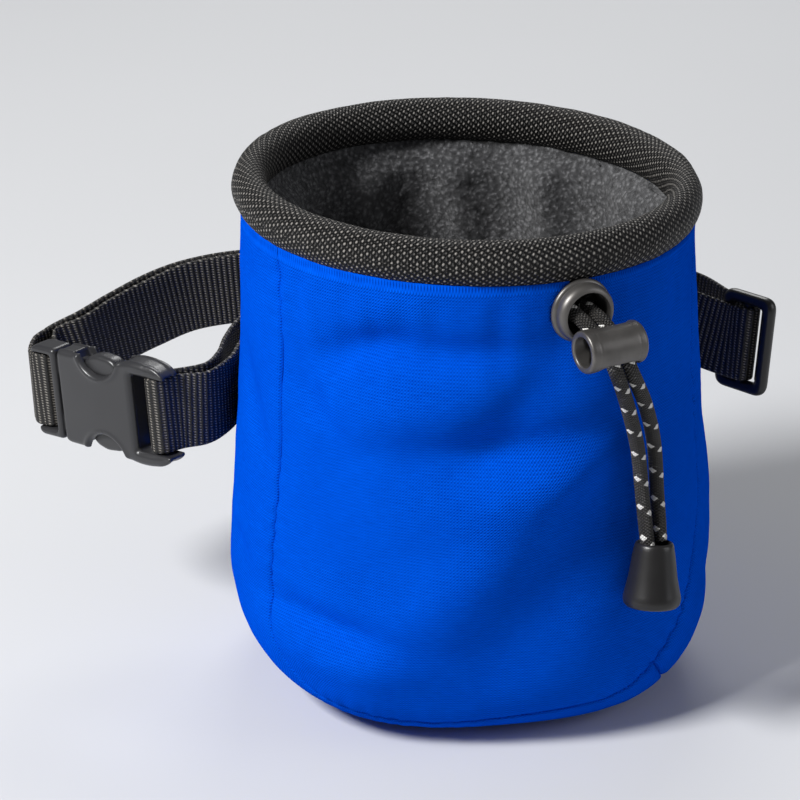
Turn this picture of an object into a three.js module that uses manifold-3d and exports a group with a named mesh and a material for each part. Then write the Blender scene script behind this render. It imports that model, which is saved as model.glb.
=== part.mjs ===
// Climbing chalk bag: a soft round bag with a padded rim, a fleece lining, a draw cord and a waist belt.
// Millimetres, +Z up, the flat base on z = 0, the front towards -Y, the buckle at -X.
import * as THREE from 'three';
import { mergeVertices } from 'three/addons/utils/BufferGeometryUtils.js';
import Module from 'manifold-3d';

// Bag
const bodyRadius = 57.5;
const rimTop = 140.4;
const rimOverhang = 2.5;
const rimRadius = bodyRadius + rimOverhang;
const rimWidth = 9;
const rimHeight = 11.6;
const rimDrop = 1.5;
const clothWall = 1.2;
const fleeceWall = 2.2;
const gap = 0.3;
const layerGap = 0.5;

// Eyelet, draw cord, cord lock and cord end
const eyeletAngle = 16.5;
const eyeletBelowRim = 18.4;
const eyeletHeight = rimTop - eyeletBelowRim;
const flangeRadius = 8.1;
const flangeThickness = 1.7;
const collarRadius = 7.5;
const collarHeight = 5;
const eyeletHole = 5.5;
const cordDiameter = 3.8;
const lockRadius = 5.3;
const lockLength = 16;
const lockBore = 3.7;
const lockBoreDepth = 4.2;
const slotRoom = 2.2;
const lockSlotShift = 0.6;
const lockSlotIn = 0.9;
const lockAngle = 19.5;
const lockTilt = 30;
const lockRound = 0.9;
const lockPlace = [22.6, -65.7, 115.8];
const cordEndPlace = [37.45, -57.9, 57];
const cordEndLean = [1, 3.3, 14.6];
const cordEndLength = 15;
const cordEndTop = 5;
const cordEndFoot = 7.3;

// Belt and its hardware
const webbingWidth = 20.8;
const webbingThickness = 1.4;
const beltHeight = 82;
const barRadius = 1.5;
const buckleYaw = 130.7;
const bucklePitch = 41.4;
const buckleRail = 3.1;
const buckleHeight = webbingWidth + 2 * buckleRail;
const buckleThickness = 8.6;
const femaleLength = 27.5;
const slotLength = 3.5;
const railEnd = 5;
const notchRadius = 7.2;
const notchDepth = 5;
const pocketThickness = 5.6;
const armHeight = 6;
const notchCover = 4;
const armNose = 6.6;
const armShoulder = 4.5;
const armSlope = 4;
const femaleWall = 2;
const throatLength = 3;
const maleFrameGap = 0.5;
const maleFrameRail = 2.4;
const maleFrameInset = 0.6;
const maleBarCover = 1.6;
const maleThinner = 1.6;
const sliderLength = 16.8;
const sliderThickness = 3.6;
const sliderRail = 3.4;
const sliderCorner = 2.4;
const sliderLedge = 1.7;
const sliderYaw = -52;
const sliderLean = 6;
const keeperWidth = 18;
const keeperFoot = 6;
const keeperSlack = 0.9;
const keeperMargin = 1;
const femaleLead = 4.6;
const sliderLead = 5;
const maleLead = 3.4;

// Horizontal sections of the bag. height is a share of rimTop, square is the power of the oval,
// the rest are shares of bodyRadius.
const sections = [
  { height: 0, half: 0.76, shift: 0.06, front: 0.7, back: 0.7, square: 2.7 },
  { height: 0.035, half: 0.896, shift: 0.05, front: 0.87, back: 0.86, square: 2.6 },
  { height: 0.09, half: 1.03, shift: 0.035, front: 0.985, back: 0.975, square: 2.4 },
  { height: 0.17, half: 1.105, shift: 0.031, front: 1.045, back: 1.035, square: 2.2 },
  { height: 0.28, half: 1.117, shift: 0.031, front: 1.08, back: 1.06, square: 2 },
  { height: 0.45, half: 1.083, shift: 0.027, front: 1.061, back: 1.05, square: 2 },
  { height: 0.65, half: 1.043, shift: 0.019, front: 1.04, back: 1.04, square: 2 },
  { height: 0.82, half: 1.024, shift: 0.01, front: 1.024, back: 1.024, square: 2 },
  { height: 1, half: 1, shift: 0, front: 1.006, back: 1.006, square: 2 },
];

// Dents and folds. angle is in degrees from the front, positive to +X, height is a share of rimTop.
// long, wide and depth are shares of bodyRadius, turn is the rise of the long axis in degrees,
// and a negative depth is a valley.
const folds = [
  { angle: -38, height: 0.79, long: 0.26, wide: 0.085, turn: 22, depth: -0.05 },
  { angle: -14, height: 0.8, long: 0.36, wide: 0.085, turn: 0, depth: -0.05 },
  { angle: -22, height: 0.69, long: 0.5, wide: 0.15, turn: 14, depth: 0.042 },
  { angle: 2, height: 0.71, long: 0.34, wide: 0.12, turn: 48, depth: -0.038 },
  { angle: 2, height: 0.625, long: 0.5, wide: 0.1, turn: 6, depth: -0.05 },
  { angle: 4, height: 0.545, long: 0.5, wide: 0.12, turn: 20, depth: 0.034 },
  { angle: -6, height: 0.42, long: 0.85, wide: 0.17, turn: 52, depth: 0.045 },
  { angle: 12, height: 0.36, long: 0.8, wide: 0.2, turn: 52, depth: -0.05 },
  { angle: -46, height: 0.245, long: 0.34, wide: 0.075, turn: -4, depth: -0.05 },
  { angle: -40, height: 0.17, long: 0.36, wide: 0.09, turn: 0, depth: 0.028 },
  { angle: -50, height: 0.66, long: 0.2, wide: 0.08, turn: -42, depth: -0.034 },
  { angle: -78, height: 0.6, long: 0.3, wide: 0.09, turn: -55, depth: -0.028 },
  { angle: -84, height: 0.3, long: 0.14, wide: 0.07, turn: 0, depth: -0.03 },
  { angle: 88, height: 0.42, long: 0.3, wide: 0.12, turn: 70, depth: 0.024 },
  { angle: 74, height: 0.22, long: 0.14, wide: 0.08, turn: 20, depth: -0.028 },
  { angle: 128, height: 0.4, long: 0.6, wide: 0.14, turn: 35, depth: -0.032 },
  { angle: 160, height: 0.24, long: 0.5, wide: 0.12, turn: -20, depth: -0.032 },
  { angle: -136, height: 0.34, long: 0.55, wide: 0.14, turn: -40, depth: -0.032 },
  { angle: -165, height: 0.42, long: 0.4, wide: 0.12, turn: 15, depth: 0.024 },
];

// Upright folds of the fleece. angle is in degrees from the front, spread in degrees,
// depth is a share of bodyRadius and always goes inwards.
const fleeceFolds = [
  { angle: -158, spread: 9, depth: 0.05 },
  { angle: -118, spread: 10, depth: 0.09 },
  { angle: -84, spread: 9, depth: 0.05 },
  { angle: -44, spread: 11, depth: 0.05 },
  { angle: 8, spread: 12, depth: 0.04 },
  { angle: 62, spread: 10, depth: 0.05 },
  { angle: 112, spread: 9, depth: 0.06 },
  { angle: 146, spread: 8, depth: 0.1 },
  { angle: 172, spread: 7, depth: 0.06 },
];

// Edge of the front panel, from the lower left round to the lower right.
// across is a share of bodyRadius, height a share of rimTop.
const frontEdge = [
  { across: -0.91, height: 0.65 },
  { across: -0.94, height: 0.46 },
  { across: -0.965, height: 0.35 },
  { across: -0.985, height: 0.25 },
  { across: -0.98, height: 0.195 },
  { across: -0.95, height: 0.155 },
  { across: -0.88, height: 0.11 },
  { across: -0.79, height: 0.084 },
  { across: -0.66, height: 0.067 },
  { across: -0.5, height: 0.056 },
  { across: -0.3, height: 0.053 },
  { across: -0.08, height: 0.06 },
  { across: 0.15, height: 0.07 },
  { across: 0.36, height: 0.076 },
  { across: 0.5, height: 0.08 },
  { across: 0.62, height: 0.1 },
  { across: 0.74, height: 0.14 },
  { across: 0.84, height: 0.185 },
  { across: 0.91, height: 0.24 },
  { across: 0.96, height: 0.32 },
  { across: 0.985, height: 0.42 },
  { across: 0.95, height: 0.65 },
];

// Strand routes from inside the eyelet, through the cord lock, down to the cord end.
const leftStrand = [
  [14.3, -56.4, 122.5], [15.4, -59.2, 121.9], [17, -61.8, 120.8], [19, -64.2, 118.6], [21.2, -66.2, 115.7],
  [22.7, -67.3, 112.5], [24, -67.2, 109.2], [25.9, -65.6, 104.4], [28.1, -62.9, 98.4], [30.1, -60.3, 92.4],
  [31.9, -58, 86.4], [33.2, -56.3, 80.4], [34.1, -55.4, 74.4], [34.8, -55.4, 68.6], [35.3, -56.7, 62.9],
  [35.6, -58.5, 57.7],
];
const rightStrand = [
  [18.4, -55.2, 122.6], [19.5, -57.9, 122], [21.1, -60.6, 121], [23.1, -62.9, 118.8], [25.2, -64.8, 115.9],
  [26.6, -65.8, 112.6], [27.9, -65.7, 109.2], [30.1, -63.7, 104.5], [32.6, -60.8, 99], [34.7, -58.1, 93.2],
  [36.5, -55.6, 87.3], [37.8, -53.7, 81.3], [38.6, -52.6, 75.3], [39.1, -52.5, 69.3], [39.4, -53.9, 63.3],
  [39.3, -56.3, 57.9],
];

// Places of the belt's hardware. across and back are shares of bodyRadius, and middle, the height of
// the webbing's middle here and in the belt's tables, is a share of beltHeight.
const places = {
  female: { across: -1.391, back: 0.094, middle: 0.906 },
  male: { middle: 0.859 },
  slider: { across: 1.431, back: 0.36, middle: 0.941 },
};

const wasm = await Module();
wasm.setup();

// A closed geometry as a solid for joining and cutting
function solidOf(geometry) {
  const plain = geometry.clone();
  plain.deleteAttribute('normal');
  plain.deleteAttribute('uv');
  const merged = mergeVertices(plain, 1e-4);
  return new wasm.Manifold(new wasm.Mesh({
    numProp: 3,
    vertProperties: new Float32Array(merged.attributes.position.array),
    triVerts: new Uint32Array(merged.index.array),
  }));
}

function geometryOf(solid) {
  const mesh = solid.getMesh();
  const geometry = new THREE.BufferGeometry();
  geometry.setAttribute('position', new THREE.BufferAttribute(mesh.vertProperties, 3));
  geometry.setIndex(new THREE.BufferAttribute(mesh.triVerts, 1));
  return geometry;
}

function finish(color, roughness, metalness = 0) {
  return new THREE.MeshStandardMaterial({ color, roughness, metalness });
}

const nylonBlue = finish(0x0f4fd6, 0.62);
const ballisticBlack = finish(0x242322, 0.7);
const fleeceGrey = finish(0x3c3c3d, 0.95);
const webbingBlack = finish(0x1f1e1e, 0.75);
const cordBlack = finish(0x2b2a29, 0.7);
const acetalGrey = finish(0x4b4b4d, 0.4);
const gunmetal = finish(0x3b3834, 0.35, 0.6);

const bag = new THREE.Group();

function addPiece(name, geometry, material, parent = bag) {
  const piece = new THREE.Mesh(geometry, material);
  piece.name = name;
  parent.add(piece);
  return piece;
}

// One column of the section table at a height share, on a smooth curve through the rows
function sectionValue(column, share) {
  let row = 0;
  while (row < sections.length - 2 && share > sections[row + 1].height) row += 1;
  const slopeAt = (i) => {
    const before = sections[Math.max(i - 1, 0)];
    const after = sections[Math.min(i + 1, sections.length - 1)];
    return (after[column] - before[column]) / (after.height - before.height);
  };
  const low = sections[row];
  const high = sections[row + 1];
  const span = high.height - low.height;
  const t = (share - low.height) / span;
  const t2 = t * t;
  const t3 = t2 * t;
  return (2 * t3 - 3 * t2 + 1) * low[column] + (t3 - 2 * t2 + t) * span * slopeAt(row)
    + (3 * t2 - 2 * t3) * high[column] + (t3 - t2) * span * slopeAt(row + 1);
}

// Folds die out towards the flat base and under the rim
function foldStrength(share) {
  const awayFromBase = THREE.MathUtils.smoothstep(share, 0.02, 0.12);
  const belowRim = 1 - THREE.MathUtils.smoothstep(share, 0.86, 0.93);
  return awayFromBase * belowRim;
}

// How far the cloth stands out of its plain form, in shares of bodyRadius
function foldDepth(angle, share) {
  let depth = 0;
  for (const fold of folds) {
    const turned = ((angle - fold.angle + 540) % 360) - 180;
    const across = THREE.MathUtils.degToRad(turned);
    const up = (share - fold.height) * rimTop / bodyRadius;
    const turn = THREE.MathUtils.degToRad(fold.turn);
    const along = (across * Math.cos(turn) + up * Math.sin(turn)) / fold.long;
    const aside = (up * Math.cos(turn) - across * Math.sin(turn)) / fold.wide;
    depth += fold.depth * Math.exp(-along * along - aside * aside);
  }
  return depth * foldStrength(share);
}

const signedPower = (value, power) => Math.sign(value) * Math.abs(value) ** power;

// Outside of the cloth at an angle from the front and a height share
function wallPoint(angle, share, folded = true) {
  const turn = THREE.MathUtils.degToRad(angle);
  const power = 2 / sectionValue('square', share);
  const side = signedPower(Math.sin(turn), power);
  const front = signedPower(Math.cos(turn), power);
  const reach = front > 0 ? sectionValue('front', share) : sectionValue('back', share);
  const out = folded ? foldDepth(angle, share) : 0;
  const x = sectionValue('shift', share) + sectionValue('half', share) * side + out * Math.sin(turn);
  const y = -reach * front - out * Math.cos(turn);
  return new THREE.Vector3(x * bodyRadius, y * bodyRadius, share * rimTop);
}

// Rows of points from the middle of the base, over its edge and up the wall
function wallRows(columns, baseRings, shares, folded) {
  const rows = [];
  for (let ring = 1; ring < baseRings; ring += 1) {
    rows.push({ share: 0, spread: ring / baseRings });
  }
  for (const share of shares) {
    rows.push({ share, spread: 1 });
  }
  const centre = new THREE.Vector3(sections[0].shift * bodyRadius, 0, 0);
  return rows.map((row) => {
    const points = [];
    for (let i = 0; i < columns; i += 1) {
      const point = wallPoint(i * 360 / columns, row.share, folded);
      if (row.spread < 1) {
        point.lerp(centre, 1 - row.spread);
      }
      points.push(point);
    }
    return points;
  });
}

// The same rows moved inwards along the surface, by a distance that depends on the place
function inwardRows(rows, distance) {
  const count = rows[0].length;
  return rows.map((row, j) => row.map((point, i) => {
    const left = row[(i + count - 1) % count];
    const right = row[(i + 1) % count];
    const below = rows[Math.max(j - 1, 0)][i];
    const above = rows[Math.min(j + 1, rows.length - 1)][i];
    const around = new THREE.Vector3().subVectors(right, left);
    const upwards = new THREE.Vector3().subVectors(above, below);
    const outward = around.cross(upwards).normalize();
    return point.clone().addScaledVector(outward, -distance(i * 360 / count, j));
  }));
}

// An open-topped cup between an outer and an inner set of rows
function cup(outer, inner) {
  const count = outer[0].length;
  const vertices = [];
  const faces = [];
  const put = (point) => vertices.push(point.x, point.y, point.z) / 3 - 1;
  const meanOf = (row) => row.reduce((sum, p) => sum.add(p), new THREE.Vector3()).divideScalar(row.length);
  const outerPole = put(meanOf(outer[0]));
  const innerPole = put(meanOf(inner[0]));
  const outerIds = outer.map((row) => row.map(put));
  const innerIds = inner.map((row) => row.map(put));
  const last = outer.length - 1;
  for (let i = 0; i < count; i += 1) {
    const k = (i + 1) % count;
    faces.push(outerPole, outerIds[0][k], outerIds[0][i]);
    faces.push(innerPole, innerIds[0][i], innerIds[0][k]);
    for (let j = 0; j < last; j += 1) {
      faces.push(outerIds[j][i], outerIds[j][k], outerIds[j + 1][k]);
      faces.push(outerIds[j][i], outerIds[j + 1][k], outerIds[j + 1][i]);
      faces.push(innerIds[j][i], innerIds[j + 1][k], innerIds[j][k]);
      faces.push(innerIds[j][i], innerIds[j + 1][i], innerIds[j + 1][k]);
    }
    faces.push(outerIds[last][i], outerIds[last][k], innerIds[last][k]);
    faces.push(outerIds[last][i], innerIds[last][k], innerIds[last][i]);
  }
  const geometry = new THREE.BufferGeometry();
  geometry.setAttribute('position', new THREE.Float32BufferAttribute(vertices, 3));
  geometry.setIndex(faces);
  return geometry;
}

// Rim: a padded roll round the mouth, a little lower on the right
function rimRoll() {
  const middle = rimRadius - rimWidth / 2;
  const sides = 10;
  const profile = [];
  for (let i = 0; i <= sides; i += 1) {
    const turn = (i % sides) * 2 * Math.PI / sides;
    profile.push(new THREE.Vector2(middle + rimWidth / 2 * Math.cos(turn), rimHeight / 2 * Math.sin(turn)));
  }
  const geometry = new THREE.LatheGeometry(profile, 40);
  geometry.rotateX(Math.PI / 2);
  geometry.rotateY(Math.asin(rimDrop / rimRadius));
  geometry.translate(0, 0, rimTop - rimHeight / 2);
  return geometry;
}

addPiece('rim_binding', rimRoll(), ballisticBlack);

// Puts the top row of a wall right under the rim, so that the wall ends a gap below it
function underRim(rows) {
  const middle = rimRadius - rimWidth / 2;
  for (const point of rows[rows.length - 1]) {
    const across = (Math.hypot(point.x, point.y) - middle) / (rimWidth / 2 + gap);
    const hang = (rimHeight / 2 + gap) * Math.sqrt(Math.max(1 - across * across, 0));
    point.z = rimTop - rimHeight / 2 - hang - rimDrop * point.x / rimRadius;
  }
  return rows;
}

// Cloth wall, cut into panels along the seams
const wallTop = 1 - rimHeight / rimTop;
const clothShares = [0, 0.025, 0.06, 0.1, 0.145];
while (clothShares[clothShares.length - 1] < wallTop - 0.03) {
  clothShares.push(clothShares[clothShares.length - 1] + 0.058);
}
clothShares[clothShares.length - 1] = wallTop;
const clothRows = wallRows(50, 2, clothShares, true);
const clothInside = inwardRows(clothRows, () => clothWall);
const cloth = solidOf(cup(underRim(clothRows), underRim(clothInside)));

// An edge line moved outwards by a distance, as points in the plane of x and z
function movedEdge(points, distance) {
  return points.map((point, i) => {
    const before = points[Math.max(i - 1, 0)];
    const after = points[Math.min(i + 1, points.length - 1)];
    const run = new THREE.Vector2().subVectors(after, before).normalize();
    return new THREE.Vector2(point.x + run.y * distance, point.y - run.x * distance);
  });
}

// Block that takes one panel out of the cloth: its edge line, closed above the rim, on one side of y = 0
function panelBlock(edge, distance, side) {
  const line = edge.map((row) => new THREE.Vector2(row.across * bodyRadius, row.height * rimTop));
  const first = line[0].clone().setY(rimTop);
  const final = line[line.length - 1].clone().setY(rimTop);
  const outline = movedEdge([first, ...line, final], distance);
  const deep = bodyRadius * 2;
  const geometry = new THREE.ExtrudeGeometry(new THREE.Shape(outline), { depth: deep, bevelEnabled: false });
  geometry.rotateX(Math.PI / 2);
  geometry.translate(0, side > 0 ? deep + 1 : -1, 0);
  return solidOf(geometry);
}

const backEdge = frontEdge.map((row, i) => {
  const mirror = frontEdge[frontEdge.length - 1 - i];
  return { across: (row.across - mirror.across) / 2, height: (row.height + mirror.height) / 2 };
});
const frontBlock = panelBlock(frontEdge, -gap / 2, -1);
const backBlock = panelBlock(backEdge, -gap / 2, 1);
const strip = cloth
  .subtract(panelBlock(frontEdge, gap / 2, -1))
  .subtract(panelBlock(backEdge, gap / 2, 1));

// The strip is joined at the lower right corner, along a plane that leans over the base
const joinLean = 28;
const joinReach = 0.793 * bodyRadius;

function joinBlock(shift) {
  const size = bodyRadius * 4;
  const geometry = new THREE.BoxGeometry(size, size, size);
  geometry.translate(size / 2 + joinReach + shift, 0, 0);
  geometry.rotateY(-THREE.MathUtils.degToRad(joinLean));
  return solidOf(geometry);
}

addPiece('side_base_strip', geometryOf(strip.subtract(joinBlock(-gap / 2))), nylonBlue);
addPiece('side_strip_right', geometryOf(strip.intersect(joinBlock(gap / 2))), nylonBlue);
addPiece('back_panel', geometryOf(cloth.intersect(backBlock)), nylonBlue);

// Eyelet frame: on the cloth, pointing outwards
const eyeletShare = eyeletHeight / rimTop;
const eyeletSeat = wallPoint(eyeletAngle, eyeletShare);
const eyeletTurn = THREE.MathUtils.degToRad(eyeletAngle);
const eyeletOut = new THREE.Vector3(Math.sin(eyeletTurn), -Math.cos(eyeletTurn), 0);
const seatRise = flangeRadius ** 2 / 2 / bodyRadius;

function onEyelet(geometry) {
  const stand = new THREE.Quaternion().setFromUnitVectors(new THREE.Vector3(0, 1, 0), eyeletOut);
  geometry.applyQuaternion(stand);
  geometry.translate(eyeletSeat.x, eyeletSeat.y, eyeletSeat.z);
  return geometry;
}

const barrelRadius = eyeletHole + 0.7;
const eyeletProfile = [
  [eyeletHole, -clothWall], [barrelRadius, -clothWall], [barrelRadius, gap],
  [flangeRadius - 0.6, gap], [flangeRadius, gap + 0.5], [flangeRadius - 0.2, flangeThickness],
  [collarRadius - 0.4, flangeThickness + 0.5], [collarRadius, collarHeight - 1.6],
  [collarRadius - 0.6, collarHeight - 0.4], [collarRadius - 1.2, collarHeight],
  [eyeletHole + 0.3, collarHeight - 0.6], [eyeletHole, collarHeight - 1.4], [eyeletHole, -clothWall],
].map(([radius, out]) => new THREE.Vector2(radius, out));
addPiece('eyelet', onEyelet(new THREE.LatheGeometry(eyeletProfile, 20)), gunmetal);

const eyeletBore = onEyelet(new THREE.CylinderGeometry(barrelRadius + gap, barrelRadius + gap, 8, 20));
const frontPanel = cloth.intersect(frontBlock).subtract(solidOf(eyeletBore));
addPiece('front_panel', geometryOf(frontPanel), nylonBlue);

// Fleece lining: hangs inside the deepest dents of the cloth and falls in upright folds of its own
function fleeceFold(angle, share) {
  let depth = 0;
  for (const fold of fleeceFolds) {
    const turned = ((angle - fold.angle + 540) % 360) - 180;
    depth += fold.depth * Math.exp(-((turned / fold.spread) ** 2));
  }
  const low = THREE.MathUtils.smoothstep(share, 0.1, 0.5);
  const high = 1 - THREE.MathUtils.smoothstep(share, 0.84, 0.93);
  return depth * bodyRadius * low * high;
}

const fleeceShares = [0, 0.035, 0.09, 0.17, 0.3, 0.45, 0.6, 0.74, 0.85, wallTop];
const fleeceBase = wallRows(40, 2, fleeceShares, false);
const deepestDent = Math.max(...folds.map((fold) => -foldDepth(fold.angle, fold.height))) * bodyRadius;
const shareOfRow = (j) => fleeceShares[Math.max(j - 1, 0)];
const fleeceRoom = (share) => clothWall + layerGap + deepestDent * foldStrength(share);
const fleeceOut = (angle, j) => fleeceRoom(shareOfRow(j)) + fleeceFold(angle, shareOfRow(j));
const fleeceIn = (angle, j) => fleeceOut(angle, j) + fleeceWall;
const fleeceOuter = underRim(inwardRows(fleeceBase, fleeceOut));
const fleeceInner = underRim(inwardRows(fleeceBase, fleeceIn));
addPiece('fleece_lining', cup(fleeceOuter, fleeceInner), fleeceGrey);

// Draw cord: two strands of the same cord
function cordTube(points) {
  const path = new THREE.CatmullRomCurve3(points.map((p) => new THREE.Vector3(...p)), false, 'centripetal');
  const radius = cordDiameter / 2;
  const section = new THREE.Shape();
  const sides = 8;
  for (let i = 0; i < sides; i += 1) {
    const turn = i * 2 * Math.PI / sides;
    section[i === 0 ? 'moveTo' : 'lineTo'](radius * Math.cos(turn), radius * Math.sin(turn));
  }
  section.closePath();
  const steps = Math.round(path.getLength() / cordDiameter / 1.3);
  return new THREE.ExtrudeGeometry(section, { extrudePath: path, steps, bevelEnabled: false });
}

addPiece('draw_cord_left', cordTube(leftStrand), cordBlack);
addPiece('draw_cord_right', cordTube(rightStrand), cordBlack);

// Cord lock: a lying barrel with a bore in its left end and a slot for the strands across it
const lockGroup = new THREE.Group();
lockGroup.position.set(...lockPlace);
lockGroup.rotation.set(0, 0, THREE.MathUtils.degToRad(lockAngle));
bag.add(lockGroup);
const lockProfile = [
  [0, lockBoreDepth], [lockBore, lockBoreDepth], [lockBore, 0.4], [lockBore + 0.4, 0],
  [lockRadius - lockRound, 0], [lockRadius - lockRound * 0.3, lockRound * 0.3], [lockRadius, lockRound],
  [lockRadius, lockLength - lockRound], [lockRadius - lockRound * 0.3, lockLength - lockRound * 0.3],
  [lockRadius - lockRound, lockLength], [0, lockLength],
].map(([radius, along]) => new THREE.Vector2(radius, along));
const lockBody = new THREE.LatheGeometry(lockProfile, 18);
lockBody.rotateZ(-Math.PI / 2);
lockBody.translate(-lockLength / 2, 0, 0);
const slotWide = cordDiameter * 2 + 2 * slotRoom;
const slotDeep = cordDiameter + slotRoom;
const lockSlot = new THREE.BoxGeometry(slotWide, slotDeep, lockRadius * 4);
lockSlot.translate(lockSlotShift, lockSlotIn, 0);
lockSlot.rotateX(-THREE.MathUtils.degToRad(lockTilt));
addPiece('cord_lock', geometryOf(solidOf(lockBody).subtract(solidOf(lockSlot))), gunmetal, lockGroup);

// Cord end: a tapered plug under the ends of both strands, leaning out at its foot
const cordEndProfile = [
  [0, 0], [cordEndFoot - 1.6, 0], [cordEndFoot - 0.5, 0.6], [cordEndFoot, 2], [cordEndFoot - 0.2, 3.4],
  [cordEndTop + 0.2, cordEndLength - 0.9], [cordEndTop - 0.6, cordEndLength], [0, cordEndLength],
].map(([radius, up]) => new THREE.Vector2(radius, up));
const cordEndAxis = new THREE.Vector3(...cordEndLean).normalize();
const cordEndAt = new THREE.Vector3(...cordEndPlace).addScaledVector(cordEndAxis, -cordEndLength);
const cordEnd = new THREE.LatheGeometry(cordEndProfile, 20);
cordEnd.rotateX(Math.PI / 2);
const cordEndPiece = addPiece('cord_end', cordEnd, gunmetal);
cordEndPiece.quaternion.setFromUnitVectors(new THREE.Vector3(0, 0, 1), cordEndAxis);
cordEndPiece.position.copy(cordEndAt);

// A strap of the webbing through stations, each with a place and the direction of its width
function strap(stations, width, thickness) {
  const corners = [[1, 1], [1, -1], [-1, -1], [-1, 1]];
  const vertices = [];
  const faces = [];
  stations.forEach((station, i) => {
    const before = stations[Math.max(i - 1, 0)].at;
    const after = stations[Math.min(i + 1, stations.length - 1)].at;
    const run = new THREE.Vector3().subVectors(after, before).normalize();
    const out = new THREE.Vector3().crossVectors(run, station.up).normalize();
    const up = new THREE.Vector3().crossVectors(out, run).normalize();
    for (const [side, rise] of corners) {
      const point = station.at.clone();
      point.addScaledVector(out, side * thickness / 2).addScaledVector(up, rise * width / 2);
      vertices.push(point.x, point.y, point.z);
    }
  });
  const last = (stations.length - 1) * 4;
  for (let i = 0; i < last; i += 4) {
    for (let k = 0; k < 4; k += 1) {
      const next = (k + 1) % 4;
      faces.push(i + k, i + next, i + 4 + next);
      faces.push(i + k, i + 4 + next, i + 4 + k);
    }
  }
  faces.push(0, 3, 2, 0, 2, 1);
  faces.push(last, last + 1, last + 2, last, last + 2, last + 3);
  const geometry = new THREE.BufferGeometry();
  geometry.setAttribute('position', new THREE.Float32BufferAttribute(vertices, 3));
  geometry.setIndex(faces);
  return geometry;
}

// Belt route, seen from above. Its stations carry the middle of the webbing and its upward direction.
const upright = new THREE.Vector3(0, 0, 1);
const barWrap = barRadius + gap + webbingThickness / 2;
const layerStep = webbingThickness + gap;
const radians = THREE.MathUtils.degToRad;
const heading = (degrees) => new THREE.Vector3(Math.cos(radians(degrees)), Math.sin(radians(degrees)), 0);

function placed(row) {
  return new THREE.Vector3(row.across * bodyRadius, row.back * bodyRadius, row.middle * beltHeight);
}

const femaleBar = placed(places.female);
const maleBar = femaleBar.clone().addScaledVector(heading(buckleYaw), bucklePitch);
maleBar.z = places.male.middle * beltHeight;
const buckleRun = new THREE.Vector3().subVectors(maleBar, femaleBar);
const buckleDip = Math.atan2(-buckleRun.z, Math.hypot(buckleRun.x, buckleRun.y));
const buckleUp = heading(buckleYaw).multiplyScalar(Math.sin(buckleDip)).setZ(Math.cos(buckleDip));
const sliderOut = heading(sliderYaw);
const sliderBar = placed(places.slider);
const sliderUp = heading(sliderYaw + 90).multiplyScalar(Math.sin(radians(sliderLean)));
sliderUp.z = Math.cos(radians(sliderLean));

const station = (at, up = upright) => ({ at, up });

// Free stretch over rows of plan places and heights
function stretch(rows, up = upright) {
  return rows.map((row) => station(placed(row), up));
}

// Turn round a bar from one plan direction to another, with a straight lead at either end
function wrap(bar, from, to, up, lead) {
  const steps = 7;
  const stations = [];
  const sideAt = (degrees) => {
    const side = heading(degrees);
    return side.addScaledVector(up, -side.dot(up)).normalize();
  };
  const way = Math.sign(to - from);
  const runAt = (degrees) => new THREE.Vector3().crossVectors(up, sideAt(degrees)).multiplyScalar(way);
  for (let i = 0; i <= steps; i += 1) {
    stations.push(station(bar.clone().addScaledVector(sideAt(from + (to - from) * i / steps), barWrap), up));
  }
  const first = stations[0].at.clone().addScaledVector(runAt(from), -lead);
  const final = stations[steps].at.clone().addScaledVector(runAt(to), lead);
  return [station(first, up), ...stations, station(final, up)];
}

// How far the bag reaches out in plan at an angle, over the height of the webbing
function bagReach(angle, middle) {
  let reach = 0;
  for (const side of [-6, -3, 0, 3, 6]) {
    for (const rise of [-0.5, -0.25, 0, 0.25, 0.5]) {
      const point = wallPoint(angle + side, (middle + rise * webbingWidth) / rimTop);
      reach = Math.max(reach, Math.hypot(point.x, point.y));
    }
  }
  return reach;
}

// Stretch that lies on the bag, off by a number of layers
function onBag(rows) {
  return rows.map((row) => {
    const middle = row.middle * beltHeight;
    const point = wallPoint(row.angle, middle / rimTop);
    const off = gap + webbingThickness / 2 + row.layer * layerStep;
    const plan = new THREE.Vector3(point.x, point.y, 0).setLength(bagReach(row.angle, middle) + off);
    return station(plan.setZ(middle));
  });
}

// Tail of the buckle's right end, main layer along the bag, loop through the slider, and the layer back
const femaleTail = stretch([
  { across: -0.665, back: 0.965, middle: 0.951 },
  { across: -0.83, back: 0.82, middle: 0.939 },
  { across: -0.96, back: 0.67, middle: 0.927 },
  { across: -1.045, back: 0.5, middle: 0.917 },
  { across: -1.095, back: 0.34, middle: 0.912 },
  { across: -1.165, back: 0.225, middle: 0.909 },
]);
const femaleWrap = wrap(femaleBar, 118, 298, buckleUp, femaleLead);
const mainLeft = stretch([
  { across: -1.17, back: 0.125, middle: 0.909 },
]);
const mainOnBag = onBag([
  { angle: -104, middle: 0.912, layer: 0.4 },
  { angle: -113, middle: 0.918, layer: 0 },
  { angle: -123, middle: 0.929, layer: 0 },
  { angle: -134, middle: 0.946, layer: 0 },
  { angle: -146, middle: 0.967, layer: 0 },
  { angle: -158, middle: 0.985, layer: 0 },
  { angle: -169, middle: 0.998, layer: 0 },
  { angle: 180, middle: 1, layer: 0 },
  { angle: 169, middle: 1, layer: 0.3 },
]);
const mainRight = stretch([
  { across: 0.4, back: 1.03, middle: 1.006 },
  { across: 0.64, back: 0.92, middle: 1.002 },
  { across: 0.88, back: 0.76, middle: 0.991 },
  { across: 1.12, back: 0.575, middle: 0.974 },
], sliderUp);
const sliderWrap = wrap(sliderBar, sliderYaw - 90, sliderYaw + 68, sliderUp, sliderLead);
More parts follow.
